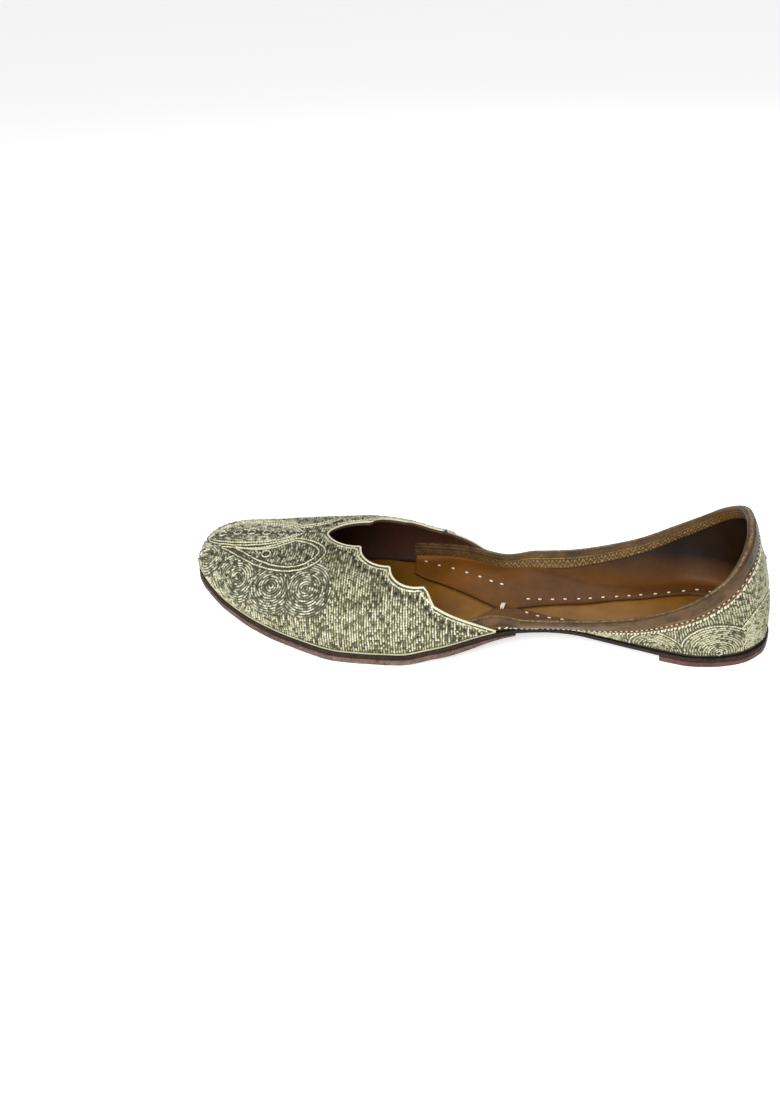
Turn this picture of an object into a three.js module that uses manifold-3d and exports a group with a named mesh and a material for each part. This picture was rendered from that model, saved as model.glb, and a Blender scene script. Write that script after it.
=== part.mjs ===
// A mojari: a flat slip-on leather shoe with an embroidered vamp, a scalloped throat and a low bound collar.
//
// Frame: millimetres, +X to the toe, +Y to the shoe's left, +Z up. The origin is on the floor under the
// middle of the shoe's length and width. It stands on its heel lift and on the flat of its outsole.
//
// Tables give places along the shoe as a share of its length, counted from the heel end ("at"), and places
// round the sole's edge as a share of the way from the toe tip to the heel end ("along").

import * as THREE from 'three';
import { mergeVertices } from 'three/addons/utils/BufferGeometryUtils.js';
import Module from 'manifold-3d';

const wasm = await Module();
wasm.setup();

// ---------------------------------------------------------------- driving dimensions

const shoeLength = 255;
const ballWidth = 86;
const instepHeight = 41.4; // top of the vamp at the point of the throat
const heelHeight = 54.8; // top of the collar at the back

const heelLiftThickness = 2.4;
const outsoleThickness = 2.6;
const skivedThickness = 0.8; // of the outsole where it ends in the waist
const midsoleThickness = 1.8;
const insoleThickness = 1.2;
const wingThickness = 1.0;
const vampThickness = 2.0;
const quarterThickness = 2.0;
const bindingThickness = 0.9;
const bindingDepth = 4.6; // how far the binding reaches down each side of the collar

const gap = 0.3; // between pieces that touch
const footTrim = 0.6; // walls and wings are made this much too deep, then cut to what they stand on
const edgeMargin = 1.3; // the sole's edge stands this far outside the upper
const midsoleInset = 0.2; // the midsole's edge is trimmed this far inside the half sole's
const liftInset = 0.3; // and the heel lift's this far
const lapDepth = 1.6; // how far inside the vamp's face the quarter's face lies under the lap
const vampBulge = 1.4;
const quarterBulge = 2.2;

const heelBreast = 47 / shoeLength; // front of the heel lift
const outsoleEnd = 108 / shoeLength;
const quarterFront = 162 / shoeLength; // front end of the quarter, inside the vamp
const toeHub = 222 / shoeLength; // where the ribs of the toe meet on the ridge

const endCrowding = 0.9; // how strongly columns gather towards the toe and heel ends
const toeCrowding = 0.85;
const collarColumns = 30; // columns on each side of the quarter
const roomReach = 2; // how far the room kept for the vamp reaches outside its face

const halfBall = ballWidth / 2;
const heelSeat = heelLiftThickness + gap;
const treadSeat = outsoleThickness + gap;

// ---------------------------------------------------------------- tables

// The sole's edge in plan. wide: half-width as a share of half the ball width.
const soleOutline = [
  { at: 1.0, wide: 0 },
  { at: 0.9985, wide: 0.163 },
  { at: 0.991, wide: 0.326 },
  { at: 0.965, wide: 0.516 },
  { at: 0.914, wide: 0.693 },
  { at: 0.843, wide: 0.851 },
  { at: 0.753, wide: 0.963 },
  { at: 0.655, wide: 1.0 },
  { at: 0.545, wide: 0.926 },
  { at: 0.439, wide: 0.637 },
  { at: 0.329, wide: 0.498 },
  { at: 0.22, wide: 0.586 },
  { at: 0.125, wide: 0.716 },
  { at: 0.055, wide: 0.619 },
  { at: 0.016, wide: 0.407 },
  { at: 0.003, wide: 0.198 },
  { at: 0, wide: 0 },
];

// The midsole's underside. lift: height of its edge; dish: how much lower its middle hangs.
const soleProfile = [
  { at: 0, lift: heelSeat, dish: 0 },
  { at: 0.19, lift: heelSeat, dish: 0 },
  { at: 0.26, lift: heelSeat + 1.5, dish: 0.4 },
  { at: 0.36, lift: heelSeat + 5.1, dish: 1.6 },
  { at: 0.42, lift: heelSeat + 6.2, dish: 1.8 },
  { at: 0.48, lift: treadSeat + 5.2, dish: 1.2 },
  { at: 0.56, lift: treadSeat + 2.6, dish: 0.3 },
  { at: 0.615, lift: treadSeat, dish: 0 },
  { at: 0.715, lift: treadSeat, dish: 0 },
  { at: 0.8, lift: treadSeat + 3.7, dish: 0 },
  { at: 0.871, lift: treadSeat + 8.3, dish: 0 },
  { at: 0.929, lift: treadSeat + 13.9, dish: 0 },
  { at: 0.969, lift: treadSeat + 20, dish: 0 },
  { at: 1, lift: treadSeat + 23.6, dish: 0 },
];

// The vamp's rib at each place. crown: height of the arch at the middle as a share of the instep height
// (behind the throat the arch is open, and the crown is only what its sides curve towards); settle: how much
// lower the arch lies on the right side, in mm; full: how square its shoulders are.
const vampRibs = [
  { at: 0.4, crown: 1.2, settle: 17, full: 3.0 },
  { at: 0.5, crown: 1.16, settle: 15, full: 2.9 },
  { at: 0.569, crown: 1.11, settle: 12, full: 2.8 },
  { at: 0.635, crown: 1.062, settle: 4.4, full: 2.6 },
  { at: 0.694, crown: 1.036, settle: 0.9, full: 2.5 },
  { at: 0.764, crown: 1.0, settle: 0, full: 2.5 },
  { at: 0.871, crown: 0.964, settle: 0, full: 2.5 },
  { at: 0.93, crown: 0.96, settle: 0, full: 2.7 },
  { at: 1, crown: 0.955, settle: 0, full: 3.0 },
];

// The throat's edge, from its point back: a concave arc joins each row to the next. left and right: how far
// round the rib the edge lies on each side, from 0 at the sole to 1 at the middle.
const throatCusps = [
  { at: 0.764, left: 1, right: 1 },
  { at: 0.694, left: 0.854, right: 0.86 },
  { at: 0.635, left: 0.657, right: 0.696 },
  { at: 0.569, left: 0.446, right: 0.6 },
];
const tipTurn = 0.62; // the first arcs start at this angle, in radians, so the throat ends in a point
// Below the last cusp the edge turns down and runs straight to the sole. Heights are above the sole.
const vampFlank = [
  { at: 0.557, left: 21.5, right: 17.5 },
  { at: 0.455, left: 1.5, right: 1.5 },
];

// The collar's top edge. at and wide: its place in plan; high: its height as a share of the heel height.
const collarRim = [
  { along: 0.37, at: 0.64, wide: 0.9, high: 0.262 },
  { along: 0.456, at: 0.545, wide: 0.83, high: 0.292 },
  { along: 0.517, at: 0.482, wide: 0.738, high: 0.31 },
  { along: 0.57, at: 0.427, wide: 0.738, high: 0.321 },
  { along: 0.641, at: 0.349, wide: 0.751, high: 0.339 },
  { along: 0.736, at: 0.24, wide: 0.821, high: 0.42 },
  { along: 0.827, at: 0.152, wide: 0.86, high: 0.58 },
  { along: 0.889, at: 0.093, wide: 0.781, high: 0.748 },
  { along: 0.936, at: 0.056, wide: 0.505, high: 0.912 },
  { along: 0.97, at: 0.045, wide: 0.25, high: 0.98 },
  { along: 1, at: 0.042, wide: 0, high: 1.0 },
];

// The free edge of the lining turned in over the insole, from its front corner to the back of the heel.
// left and right: its share of the half width; the right one reaches past the middle at the waist, where the
// two meet. along: the place on the wall that the row joins.
const wingEdge = [
  { at: 0.631, left: 0.84, right: 0.61, along: 0.38 },
  { at: 0.537, left: 0.7, right: 0.16, along: 0.462 },
  { at: 0.462, left: 0.212, right: -0.205, along: 0.537 },
  { at: 0.43, left: 0.207, right: -0.2, along: 0.568 },
  { at: 0.365, left: 0.33, right: -0.047, along: 0.626 },
  { at: 0.312, left: 0.345, right: 0.051, along: 0.673 },
  { at: 0.265, left: 0.36, right: 0.181, along: 0.715 },
  { at: 0.214, left: 0.38, right: 0.288, along: 0.762 },
  { at: 0.164, left: 0.41, right: 0.386, along: 0.81 },
  { at: 0.125, left: 0.44, right: 0.44, along: 0.85 },
  { at: 0.098, left: 0.42, right: 0.42, along: 0.9 },
  { at: 0.083, left: 0.25, right: 0.25, along: 0.955 },
  { at: 0.078, left: 0, right: 0, along: 1 },
];

// ---------------------------------------------------------------- curves and levels

/** A smooth curve through one column of a table, by a monotone cubic, so that it never overshoots a row. */
function track(rows, key, column) {
  const sorted = [...rows].sort((a, b) => a[key] - b[key]);
  const place = sorted.map((row) => row[key]);
  const value = sorted.map((row) => row[column]);
  const secant = place.slice(1).map((p, i) => (value[i + 1] - value[i]) / (p - place[i]));
  const tangent = place.map((_, i) => {
    const before = secant[Math.max(i - 1, 0)];
    const after = secant[Math.min(i, secant.length - 1)];
    return before * after > 0 ? (2 * before * after) / (before + after) : 0;
  });
  return (x) => {
    const clamped = THREE.MathUtils.clamp(x, place[0], place[place.length - 1]);
    const next = place.findIndex((p, j) => j > 0 && p >= clamped);
    const i = next - 1;
    const width = place[next] - place[i];
    const t = (clamped - place[i]) / width;
    const fromStart = (1 + 2 * t) * (1 - t) ** 2 * value[i] + t * (1 - t) ** 2 * width * tangent[i];
    const fromEnd = t * t * (3 - 2 * t) * value[next] - t * t * (1 - t) * width * tangent[next];
    return fromStart + fromEnd;
  };
}

const xAt = (at) => (at - 0.5) * shoeLength;
const atOf = (x) => x / shoeLength + 0.5;

const leftEdge = soleOutline.map((row) => new THREE.Vector3(xAt(row.at), row.wide * halfBall, 0));
const rightEdge = leftEdge.slice(1, -1).reverse().map((p) => new THREE.Vector3(p.x, -p.y, 0));
const soleEdge = new THREE.CatmullRomCurve3([...leftEdge, ...rightEdge], true, 'centripetal');
soleEdge.arcLengthDivisions = 1200;

/** The point of the sole's left edge at a share of the way from toe tip to heel end, and its way outward. */
function edgeAt(along) {
  const point = soleEdge.getPointAt(along / 2);
  const tangent = soleEdge.getTangentAt(along / 2);
  const out = new THREE.Vector2(tangent.y, -tangent.x).normalize();
  if (along === 0) out.set(1, 0);
  if (along === 1) out.set(-1, 0);
  return { point: new THREE.Vector2(point.x, along === 0 || along === 1 ? 0 : point.y), out };
}

/** A point this far inside the sole's left edge. */
function inside(along, inset) {
  const { point, out } = edgeAt(along);
  return point.addScaledVector(out, -inset);
}

/** The share of the way along the sole's edge that lies at a share of the length, by halving. */
function alongAt(at) {
  let low = 0;
  let high = 1;
  for (let step = 0; step < 40; step++) {
    const middle = (low + high) / 2;
    if (atOf(edgeAt(middle).point.x) > at) low = middle;
    else high = middle;
  }
  return (low + high) / 2;
}

const liftAt = track(soleProfile, 'at', 'lift');
const dishAt = track(soleProfile, 'at', 'dish');

/** Height of the midsole's underside at a point in plan: the edge's lift, less the dish of its middle. */
function undersideAt(x, y) {
  const at = THREE.MathUtils.clamp(atOf(x), 0, 1);
  const dish = dishAt(at);
  if (dish === 0) return liftAt(at);
  const across = Math.min(Math.abs(y) / edgeAt(alongAt(at)).point.y, 1);
  return liftAt(at) - dish * (1 - across * across);
}

const seatAt = (x, y) => undersideAt(x, y) + midsoleThickness + gap; // underside of the insole
const footAt = (x, y) => seatAt(x, y) - footTrim; // foot of the upper's walls

// ---------------------------------------------------------------- the form of the vamp and quarter

const crownAt = track(vampRibs, 'at', 'crown');
const settleAt = track(vampRibs, 'at', 'settle');
const fullAt = track(vampRibs, 'at', 'full');
const rimPlaceAt = track(collarRim, 'along', 'at');
const rimWideAt = track(collarRim, 'along', 'wide');
const rimHighAt = track(collarRim, 'along', 'high');

/** What a vamp rib needs: its foot, the ridge point it ends on, its fullness and its way outward. */
function vampRib(side, along, depth) {
  const { point, out } = edgeAt(along);
  const at = atOf(point.x);
  const foot = point.clone().addScaledVector(out, -edgeMargin - depth);
  const ridgeAt = Math.min(at, toeHub);
  const settle = side < 0 ? settleAt(ridgeAt) : 0;
  const crown = crownAt(ridgeAt) * instepHeight - settle - depth;
  return { foot, out, crown, ridgeX: xAt(ridgeAt), base: footAt(foot.x, foot.y), full: fullAt(at) };
}

/**
 * A point of the vamp. The rib is a superellipse: at a share r of the way up it has moved
 * 1 - (1 - r^n)^(1/n) of the way in from its foot to the ridge, and a sine swells it outward.
 */
function vampAt(side, along, rise, depth) {
  const { foot, out, crown, ridgeX, base, full } = vampRib(side, along, depth);
  const up = THREE.MathUtils.clamp(rise, 0, 1);
  const inward = 1 - (1 - up ** full) ** (1 / full);
  const swell = vampBulge * Math.sin(Math.PI * up ** 0.7) * (1 - inward);
  const x = THREE.MathUtils.lerp(foot.x, ridgeX, inward) + out.x * swell;
  const y = foot.y * (1 - inward) + out.y * swell;
  return new THREE.Vector3(x, side * y, THREE.MathUtils.lerp(base, crown, up));
}

/** The share of the way up that lies a share of the way round the rib. */
const riseOfGirth = (girth, full) => Math.sin((girth * Math.PI) / 2) ** (2 / full);

const lapStart = alongAt(122 / shoeLength);
const lapEnd = alongAt(102 / shoeLength);
const lapAt = (along) => 1 - THREE.MathUtils.smoothstep(along, lapStart, lapEnd);

/**
 * A point of the quarter's wall. Away from the lap it leans from its foot to the collar by height^1.4 and a
 * sine swells it outward; under the lap it follows the vamp's ribs, a lap depth further in.
 */
function quarterAt(side, along, height, depth) {
  const lap = lapAt(along);
  const { point, out } = edgeAt(along);
  const foot = point.clone().addScaledVector(out, -edgeMargin - depth - lapDepth * lap);
  const rim = new THREE.Vector2(xAt(rimPlaceAt(along)), rimWideAt(along) * halfBall);
  rim.addScaledVector(out, -depth);
  if (along === 1) rim.y = 0;
  const base = footAt(foot.x, foot.y);
  const z = THREE.MathUtils.lerp(base, rimHighAt(along) * heelHeight, height);
  const lean = Math.max(height, 0) ** 1.4;
  const swell = quarterBulge * Math.sin(Math.PI * THREE.MathUtils.clamp(height, 0, 1)) * (1 - lap);
  const free = foot.clone().lerp(rim, lean).addScaledVector(out, swell);
  if (lap > 0) {
    const rib = vampRib(side, along, depth + lapDepth);
    const lapped = vampAt(side, along, (z - rib.base) / (rib.crown - rib.base), depth + lapDepth);
    free.lerp(new THREE.Vector2(lapped.x, side * lapped.y), lap);
  }
  return new THREE.Vector3(free.x, side * free.y, z);
}

// ---------------------------------------------------------------- solids

/** A manifold solid from a list of triangles, each three points; slivers with no area are dropped. */
function solidOf(triangles) {
  const soup = new THREE.BufferGeometry();
  soup.setAttribute('position', new THREE.Float32BufferAttribute(triangles.flat(2), 3));
  const merged = mergeVertices(soup, 1e-3);
  const corners = merged.index.array;
  const kept = [];
  for (let i = 0; i < corners.length; i += 3) {
    const [a, b, c] = [corners[i], corners[i + 1], corners[i + 2]];
    if (a !== b && b !== c && c !== a) kept.push(a, b, c);
  }
  const vertProperties = new Float32Array(merged.attributes.position.array);
  const mesh = new wasm.Mesh({ numProp: 3, vertProperties, triVerts: new Uint32Array(kept) });
  return new wasm.Manifold(mesh);
}

/** Two triangles for the quad a, b, c, d, seen anticlockwise from outside. */
function quad(a, b, c, d) {
  return [
    [a, b, c],
    [a, c, d],
  ];
}

/**
 * A solid between an outer and an inner grid of points, outer[column][row]. Its sides are closed, except
 * between two columns that are both shut, whose last rows meet their mirror images on the ridge.
 */
function shell(outer, inner, shut = () => false) {
  const triangles = [];
  const columns = outer.length - 1;
  const rows = outer[0].length - 1;
  for (let i = 0; i < columns; i++) {
    for (let j = 0; j < rows; j++) {
      triangles.push(...quad(outer[i][j], outer[i + 1][j], outer[i + 1][j + 1], outer[i][j + 1]));
      triangles.push(...quad(inner[i][j], inner[i][j + 1], inner[i + 1][j + 1], inner[i + 1][j]));
    }
    triangles.push(...quad(outer[i][0], inner[i][0], inner[i + 1][0], outer[i + 1][0]));
    if (shut(i) && shut(i + 1)) continue;
    triangles.push(...quad(outer[i][rows], outer[i + 1][rows], inner[i + 1][rows], inner[i][rows]));
  }
  for (let j = 0; j < rows; j++) {
    triangles.push(...quad(outer[0][j], outer[0][j + 1], inner[0][j + 1], inner[0][j]));
    const last = columns;
    triangles.push(...quad(outer[last][j], inner[last][j], inner[last][j + 1], outer[last][j + 1]));
  }
  return solidOf(triangles.map((triangle) => triangle.map((p) => [p.x, p.y, p.z])));
}

/** Evenly spaced numbers from start to end, both kept. */
const spread = (start, end, steps) =>
  Array.from({ length: steps + 1 }, (_, i) => THREE.MathUtils.lerp(start, end, i / steps));

/**
 * A flat piece that follows the sole. Its columns run across the shoe between the two edges, a given
 * distance inside the sole's; its faces lie at bottom(x, y) and top(x, y).
 */
function plate(alongs, insetAt, bottom, top) {
  const rows = 6;
  const grid = (level) =>
    alongs.map((along) => {
      const edge = inside(along, insetAt(along));
      return spread(-1, 1, rows).map((u) => {
        const y = u * edge.y;
        return new THREE.Vector3(edge.x, y, level(edge.x, y));
      });
    });
  return shell(grid(bottom), grid(top));
}

/** Places along the edge between two shares, closer together near the toe and heel ends. */
function steps(start, end, count) {
  const turn = 2 * Math.PI;
  return spread(start, end, count).map((along) => along - (endCrowding * Math.sin(turn * along)) / turn);
}

/** The shares that steps() would give for a range whose own ends are exact. */
function stepsBetween(start, end, count) {
  const inner = steps(0, 1, count).filter((along) => along > start + 0.004 && along < end - 0.004);
  return [start, ...inner, end];
}

const constant = (value) => () => value;

// ---------------------------------------------------------------- sole pieces and insole

const outsoleTaper = track(
  [
    { at: outsoleEnd, thick: skivedThickness },
    { at: 0.53, thick: outsoleThickness },
    { at: 1, thick: outsoleThickness },
  ],
  'at',
  'thick',
);
const outsoleTop = (x, y) => undersideAt(x, y) - gap;

function outsoleSolid() {
  const range = stepsBetween(0, alongAt(outsoleEnd), 46);
  const bottom = (x, y) => outsoleTop(x, y) - outsoleTaper(atOf(x));
  return plate(range, constant(0), bottom, outsoleTop);
}

function heelLiftSolid() {
  const range = stepsBetween(alongAt(heelBreast), 1, 40);
  return plate(range, constant(liftInset), constant(0), constant(heelLiftThickness));
}

/** The midsole, or the room that it and a gap above it take up. */
function midsoleSolid(above = 0) {
  const top = (x, y) => undersideAt(x, y) + midsoleThickness + above;
  return plate(steps(0, 1, 44), constant(above > 0 ? 0 : midsoleInset), undersideAt, top);
}

// How far inside the sole's edge the upper's inner face stands, all round.
const innerFoot = track(
  [
    { along: 0, inset: edgeMargin + vampThickness },
    { along: alongAt(0.69), inset: edgeMargin + vampThickness },
    { along: alongAt(0.65), inset: edgeMargin + lapDepth + quarterThickness },
    { along: lapStart, inset: edgeMargin + lapDepth + quarterThickness },
    { along: lapEnd + 0.01, inset: edgeMargin + quarterThickness + 0.1 },
    { along: 1, inset: edgeMargin + quarterThickness },
  ],
  'along',
  'inset',
);

const insoleTop = (x, y) => seatAt(x, y) + insoleThickness;

/** The insole, or the room that it and a gap above it take up. */
function insoleSolid(above = 0) {
  const top = (x, y) => insoleTop(x, y) + above;
  return plate(steps(0, 1, 44), (along) => innerFoot(along) + (above > 0 ? 0 : gap), seatAt, top);
}

/** The lining turned in on one side: a thin leaf from the wall's foot to its free edge, on the insole. */
function wingSolid(side) {
  const column = side > 0 ? 'left' : 'right';
  const finer = [];
  wingEdge.slice(1).forEach((row, i) => {
    const before = wingEdge[i];
    for (const t of spread(0, 1, 3).slice(i === 0 ? 0 : 1)) {
      const mix = (key) => THREE.MathUtils.lerp(before[key], row[key], t);
      finer.push({ at: mix('at'), wide: mix(column), along: mix('along') });
    }
  });
  const grid = (raise) =>
    finer.map((row) => {
      const wall = inside(row.along, innerFoot(row.along) + 2 * gap);
      const free = new THREE.Vector2(xAt(row.at), row.wide * halfBall);
      if (row.along === 1) wall.y = free.y = gap / 2;
      return spread(0, 1, 2).map((t) => {
        const p = wall.clone().lerp(free, t);
        return new THREE.Vector3(p.x, side * p.y, insoleTop(p.x, p.y) + gap + raise);
      });
    });
  const [lower, upper] = [grid(-footTrim), grid(wingThickness)];
  const leaf = side > 0 ? shell(upper, lower) : shell(lower, upper);
  return leaf.subtract(insoleSolid(gap));
}

// ---------------------------------------------------------------- upper

/** The vamp's columns on one side, from the throat's point back: place along the edge, and share risen. */
function throatColumns(side, grow) {
  const column = side > 0 ? 'left' : 'right';
  const found = [];
  const arcSteps = 4;
  throatCusps.slice(1).forEach((cusp, i) => {
    const from = throatCusps[i];
    const start = i === 0 ? tipTurn : 0;
    for (const turn of spread(start, Math.PI / 2, arcSteps).slice(1)) {
      const back = 1 - Math.cos(turn) / Math.cos(start);
      const round = (Math.sin(turn) - Math.sin(start)) / (1 - Math.sin(start));
      const at = THREE.MathUtils.lerp(from.at, cusp.at, back);
      const girth = THREE.MathUtils.lerp(from[column], cusp[column], round);
      found.push({ along: alongAt(at), rise: riseOfGirth(girth, fullAt(at)) });
    }
  });
  const [top, end] = vampFlank;
  for (const t of spread(0, 1, 5)) {
    const along = alongAt(THREE.MathUtils.lerp(top.at, end.at - grow / shoeLength, t));
    const rib = vampRib(side, along, 0);
    const height = THREE.MathUtils.lerp(top[column], end[column], t);
    found.push({ along, rise: (height + grow) / (rib.crown - rib.base) });
  }
  return found;
}

/** The vamp between two depths; grow lets it reach a little past its free edges. */
function vampSolid(outerDepth, innerDepth, grow = 0) {
  const throatAlong = alongAt(throatCusps[0].at);
  const toe = spread(0, 1, 14).map((t) => ({ along: throatAlong * t ** toeCrowding, rise: 1, shut: true }));
  const columns = [
    ...throatColumns(1, grow).reverse().map((c) => ({ ...c, side: 1 })),
    ...toe.slice(1).reverse().map((c) => ({ ...c, side: 1 })),
    ...toe.map((c) => ({ ...c, side: -1 })),
    ...throatColumns(-1, grow).map((c) => ({ ...c, side: -1 })),
  ];
  const rows = 9;
  const grid = (depth) =>
    columns.map(({ side, along, rise }) => {
      const full = fullAt(atOf(edgeAt(along).point.x));
      const edge = (2 / Math.PI) * Math.asin(Math.min(rise, 1) ** (full / 2));
      return spread(0, edge, rows).map((g) => vampAt(side, along, riseOfGirth(g, full), depth));
    });
  return shell(grid(innerDepth), grid(outerDepth), (i) => columns[i].shut === true);
}

/** Places along the quarter, from its left front end round the heel to its right one. */
function quarterColumns(count) {
  const front = alongAt(quarterFront);
  const left = spread(0, 1, count).map((t) => ({ side: 1, along: front + (1 - front) * t }));
  left[count].along = 1;
  const right = left.slice(0, -1).reverse().map((c) => ({ side: -1, along: c.along }));
  return [...left, ...right];
}

/**
 * The quarter's form between two depths, from a share of its height up to its rim and a little above. Its
 * columns are always the same, so two forms a gap apart stay a gap apart.
 */
function quarterSolid(outerDepth, innerDepth, above = 0) {
  const columns = quarterColumns(collarColumns);
  const grid = (depth) =>
    columns.map(({ side, along }) => {
      const wall = spread(0, 1, 5).map((height) => quarterAt(side, along, height, depth));
      if (above > 0) wall.push(wall[5].clone().setZ(wall[5].z + above));
      return wall;
    });
  return shell(grid(outerDepth), grid(innerDepth));
}

/**
 * The strip folded over the collar, a U in section: the rim of a form that is thicker than the quarter by the
 * strip and its gap on each side, less the quarter with that gap round it.
 */
function bindingSolid() {
  const far = gap + bindingThickness;
  const grid = (depth) =>
    quarterColumns(collarColumns).map(({ side, along }) => {
      const tall = rimHighAt(along) * heelHeight - quarterAt(side, along, 0, 0).z;
      const foot = quarterAt(side, along, 1 - bindingDepth / tall, depth);
      const rim = quarterAt(side, along, 1, depth);
      return [foot, rim, rim.clone().setZ(rim.z + far)];
    });
  const band = shell(grid(-far), grid(quarterThickness + far));
  return band.subtract(quarterSolid(-gap, quarterThickness + gap, gap));
}

const sewnUpper = vampSolid(0, vampThickness).add(quarterSolid(0, quarterThickness));
const upperSolid = sewnUpper.subtract(midsoleSolid(gap));
const vampRoom = vampSolid(-roomReach, vampThickness + gap, gap);
const collarBinding = bindingSolid().subtract(vampRoom);

// ---------------------------------------------------------------- the shoe

const leather = (color, roughness) => new THREE.MeshStandardMaterial({ color, roughness, metalness: 0 });
const embroidered = new THREE.MeshStandardMaterial({ color: 0xb9b493, roughness: 0.6, metalness: 0.35 });
const edgeLeather = leather(0x5f463c, 0.7);
const darkLeather = leather(0x2b1a14, 0.65);
const liftLeather = leather(0x6e3b33, 0.6);
const tanLeather = leather(0x96642e, 0.45);
const bindingLeather = leather(0x6a4a2c, 0.4);

/** A named mesh from a manifold solid. */
function piece(name, solid, material) {
  const { vertProperties, triVerts } = solid.getMesh();
  const geometry = new THREE.BufferGeometry();
  geometry.setAttribute('position', new THREE.BufferAttribute(new Float32Array(vertProperties), 3));
  geometry.setIndex(new THREE.BufferAttribute(new Uint32Array(triVerts), 1));
  geometry.computeVertexNormals();
  const mesh = new THREE.Mesh(geometry, material);
  mesh.name = name;
  return mesh;
}

const shoe = new THREE.Group();
shoe.add(
  piece('outsole', outsoleSolid(), edgeLeather),
  piece('heel_lift', heelLiftSolid(), liftLeather),
  piece('midsole', midsoleSolid(), darkLeather),
  piece('insole', insoleSolid(), tanLeather),
  piece('upper', upperSolid, embroidered),
  piece('wing_left', wingSolid(1), tanLeather),
  piece('wing_right', wingSolid(-1), tanLeather),
  piece('collar_binding', collarBinding, bindingLeather),
);

export default shoe;
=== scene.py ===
"""A mojari, dressed for rendering: a flat slip-on leather shoe with an embroidered vamp and a bound collar.

Sizes in the tables and functions are millimetres in the shoe's own frame: +X to the toe, +Y to the shoe's
left, +Z up, the origin on the floor under its middle. They become metres when a mesh is made.
"""

import math

import bmesh
import bpy
import numpy as np
from mathutils import Matrix


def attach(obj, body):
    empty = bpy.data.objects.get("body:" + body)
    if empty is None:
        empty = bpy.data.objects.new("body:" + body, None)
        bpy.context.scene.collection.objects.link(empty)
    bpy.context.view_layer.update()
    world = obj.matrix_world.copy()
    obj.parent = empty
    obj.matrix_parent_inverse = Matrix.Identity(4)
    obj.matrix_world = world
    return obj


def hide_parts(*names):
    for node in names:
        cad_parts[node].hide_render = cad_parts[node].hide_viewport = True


bl_info = {
    "name": "Mojari Shoe",
    "version": (1, 0, 0),
    "blender": (4, 5, 0),
    "location": "View3D > Sidebar > Mojari",
    "description": "Builds an embroidered leather mojari over its fixed frame",
    "category": "Add Mesh",
}

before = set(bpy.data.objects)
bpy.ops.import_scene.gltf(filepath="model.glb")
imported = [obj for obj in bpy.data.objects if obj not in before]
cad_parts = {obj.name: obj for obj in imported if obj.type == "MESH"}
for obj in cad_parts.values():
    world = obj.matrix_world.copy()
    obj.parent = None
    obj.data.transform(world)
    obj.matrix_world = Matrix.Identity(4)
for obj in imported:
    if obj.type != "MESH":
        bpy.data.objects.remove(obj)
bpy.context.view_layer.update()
MM = 0.001

# ---------------------------------------------------------------- tables of the form

SHOE_LENGTH = 255.0
BALL_WIDTH = 86.0
INSTEP_HEIGHT = 41.4
HEEL_HEIGHT = 54.8
LIFT_THICKNESS = 2.4
OUTSOLE_THICKNESS = 2.6
MIDSOLE_THICKNESS = 1.8
INSOLE_THICKNESS = 1.2
WALL = 2.0  # the upper's wall, lining included
GAP = 0.3
EDGE_MARGIN = 1.3
LAP_DEPTH = 1.6
FOOT_TRIM = 0.6
VAMP_BULGE = 1.4
QUARTER_BULGE = 2.2
HALF_BALL = BALL_WIDTH / 2
HEEL_SEAT = LIFT_THICKNESS + GAP
TREAD_SEAT = OUTSOLE_THICKNESS + GAP

# The sole's edge: half-width as a share of half the ball width, at shares of the length from the heel end.
SOLE_OUTLINE = {
    "at": [
        1, 0.9985, 0.991, 0.965, 0.914, 0.843, 0.753, 0.655, 0.545, 0.439, 0.329, 0.22, 0.125, 0.055, 0.016,
        0.003, 0,
    ],
    "wide": [
        0, 0.163, 0.326, 0.516, 0.693, 0.851, 0.963, 1, 0.926, 0.637, 0.498, 0.586, 0.716, 0.619, 0.407,
        0.198, 0,
    ],
}
# The midsole's underside: height of its edge, and how much lower its middle hangs.
SOLE_PROFILE = {
    "at": [0, 0.19, 0.26, 0.36, 0.42, 0.48, 0.56, 0.615, 0.715, 0.8, 0.871, 0.929, 0.969, 1],
    "lift": [
        HEEL_SEAT, HEEL_SEAT, HEEL_SEAT + 1.5, HEEL_SEAT + 5.1, HEEL_SEAT + 6.2, TREAD_SEAT + 5.2,
        TREAD_SEAT + 2.6,
        TREAD_SEAT, TREAD_SEAT, TREAD_SEAT + 3.7, TREAD_SEAT + 8.3, TREAD_SEAT + 13.9, TREAD_SEAT + 20,
        TREAD_SEAT + 23.6,
    ],
    "dish": [0, 0, 0.4, 1.6, 1.8, 1.2, 0.3, 0, 0, 0, 0, 0, 0, 0],
}
# The vamp's ribs: crown height as a share of the instep height, how much lower the right side lies in mm,
# and how square the shoulders are.
VAMP_RIBS = {
    "at": [0.4, 0.5, 0.569, 0.635, 0.694, 0.764, 0.871, 0.93, 1],
    "crown": [1.2, 1.16, 1.11, 1.062, 1.036, 1, 0.964, 0.96, 0.955],
    "settle": [17, 15, 12, 4.4, 0.9, 0, 0, 0, 0],
    "full": [3, 2.9, 2.8, 2.6, 2.5, 2.5, 2.5, 2.7, 3],
}
# The throat's cusps, as shares of the way round the rib, then the flank, as heights above the sole.
THROAT_CUSPS = {
    "at": [0.764, 0.694, 0.635, 0.569],
    "left": [1, 0.854, 0.657, 0.446],
    "right": [1, 0.86, 0.696, 0.6],
}
TIP_TURN = 0.62  # angle at which the first arcs start, in radians
VAMP_FLANK = {"at": [0.557, 0.455], "left": [21.5, 1.5], "right": [17.5, 1.5]}
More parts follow.
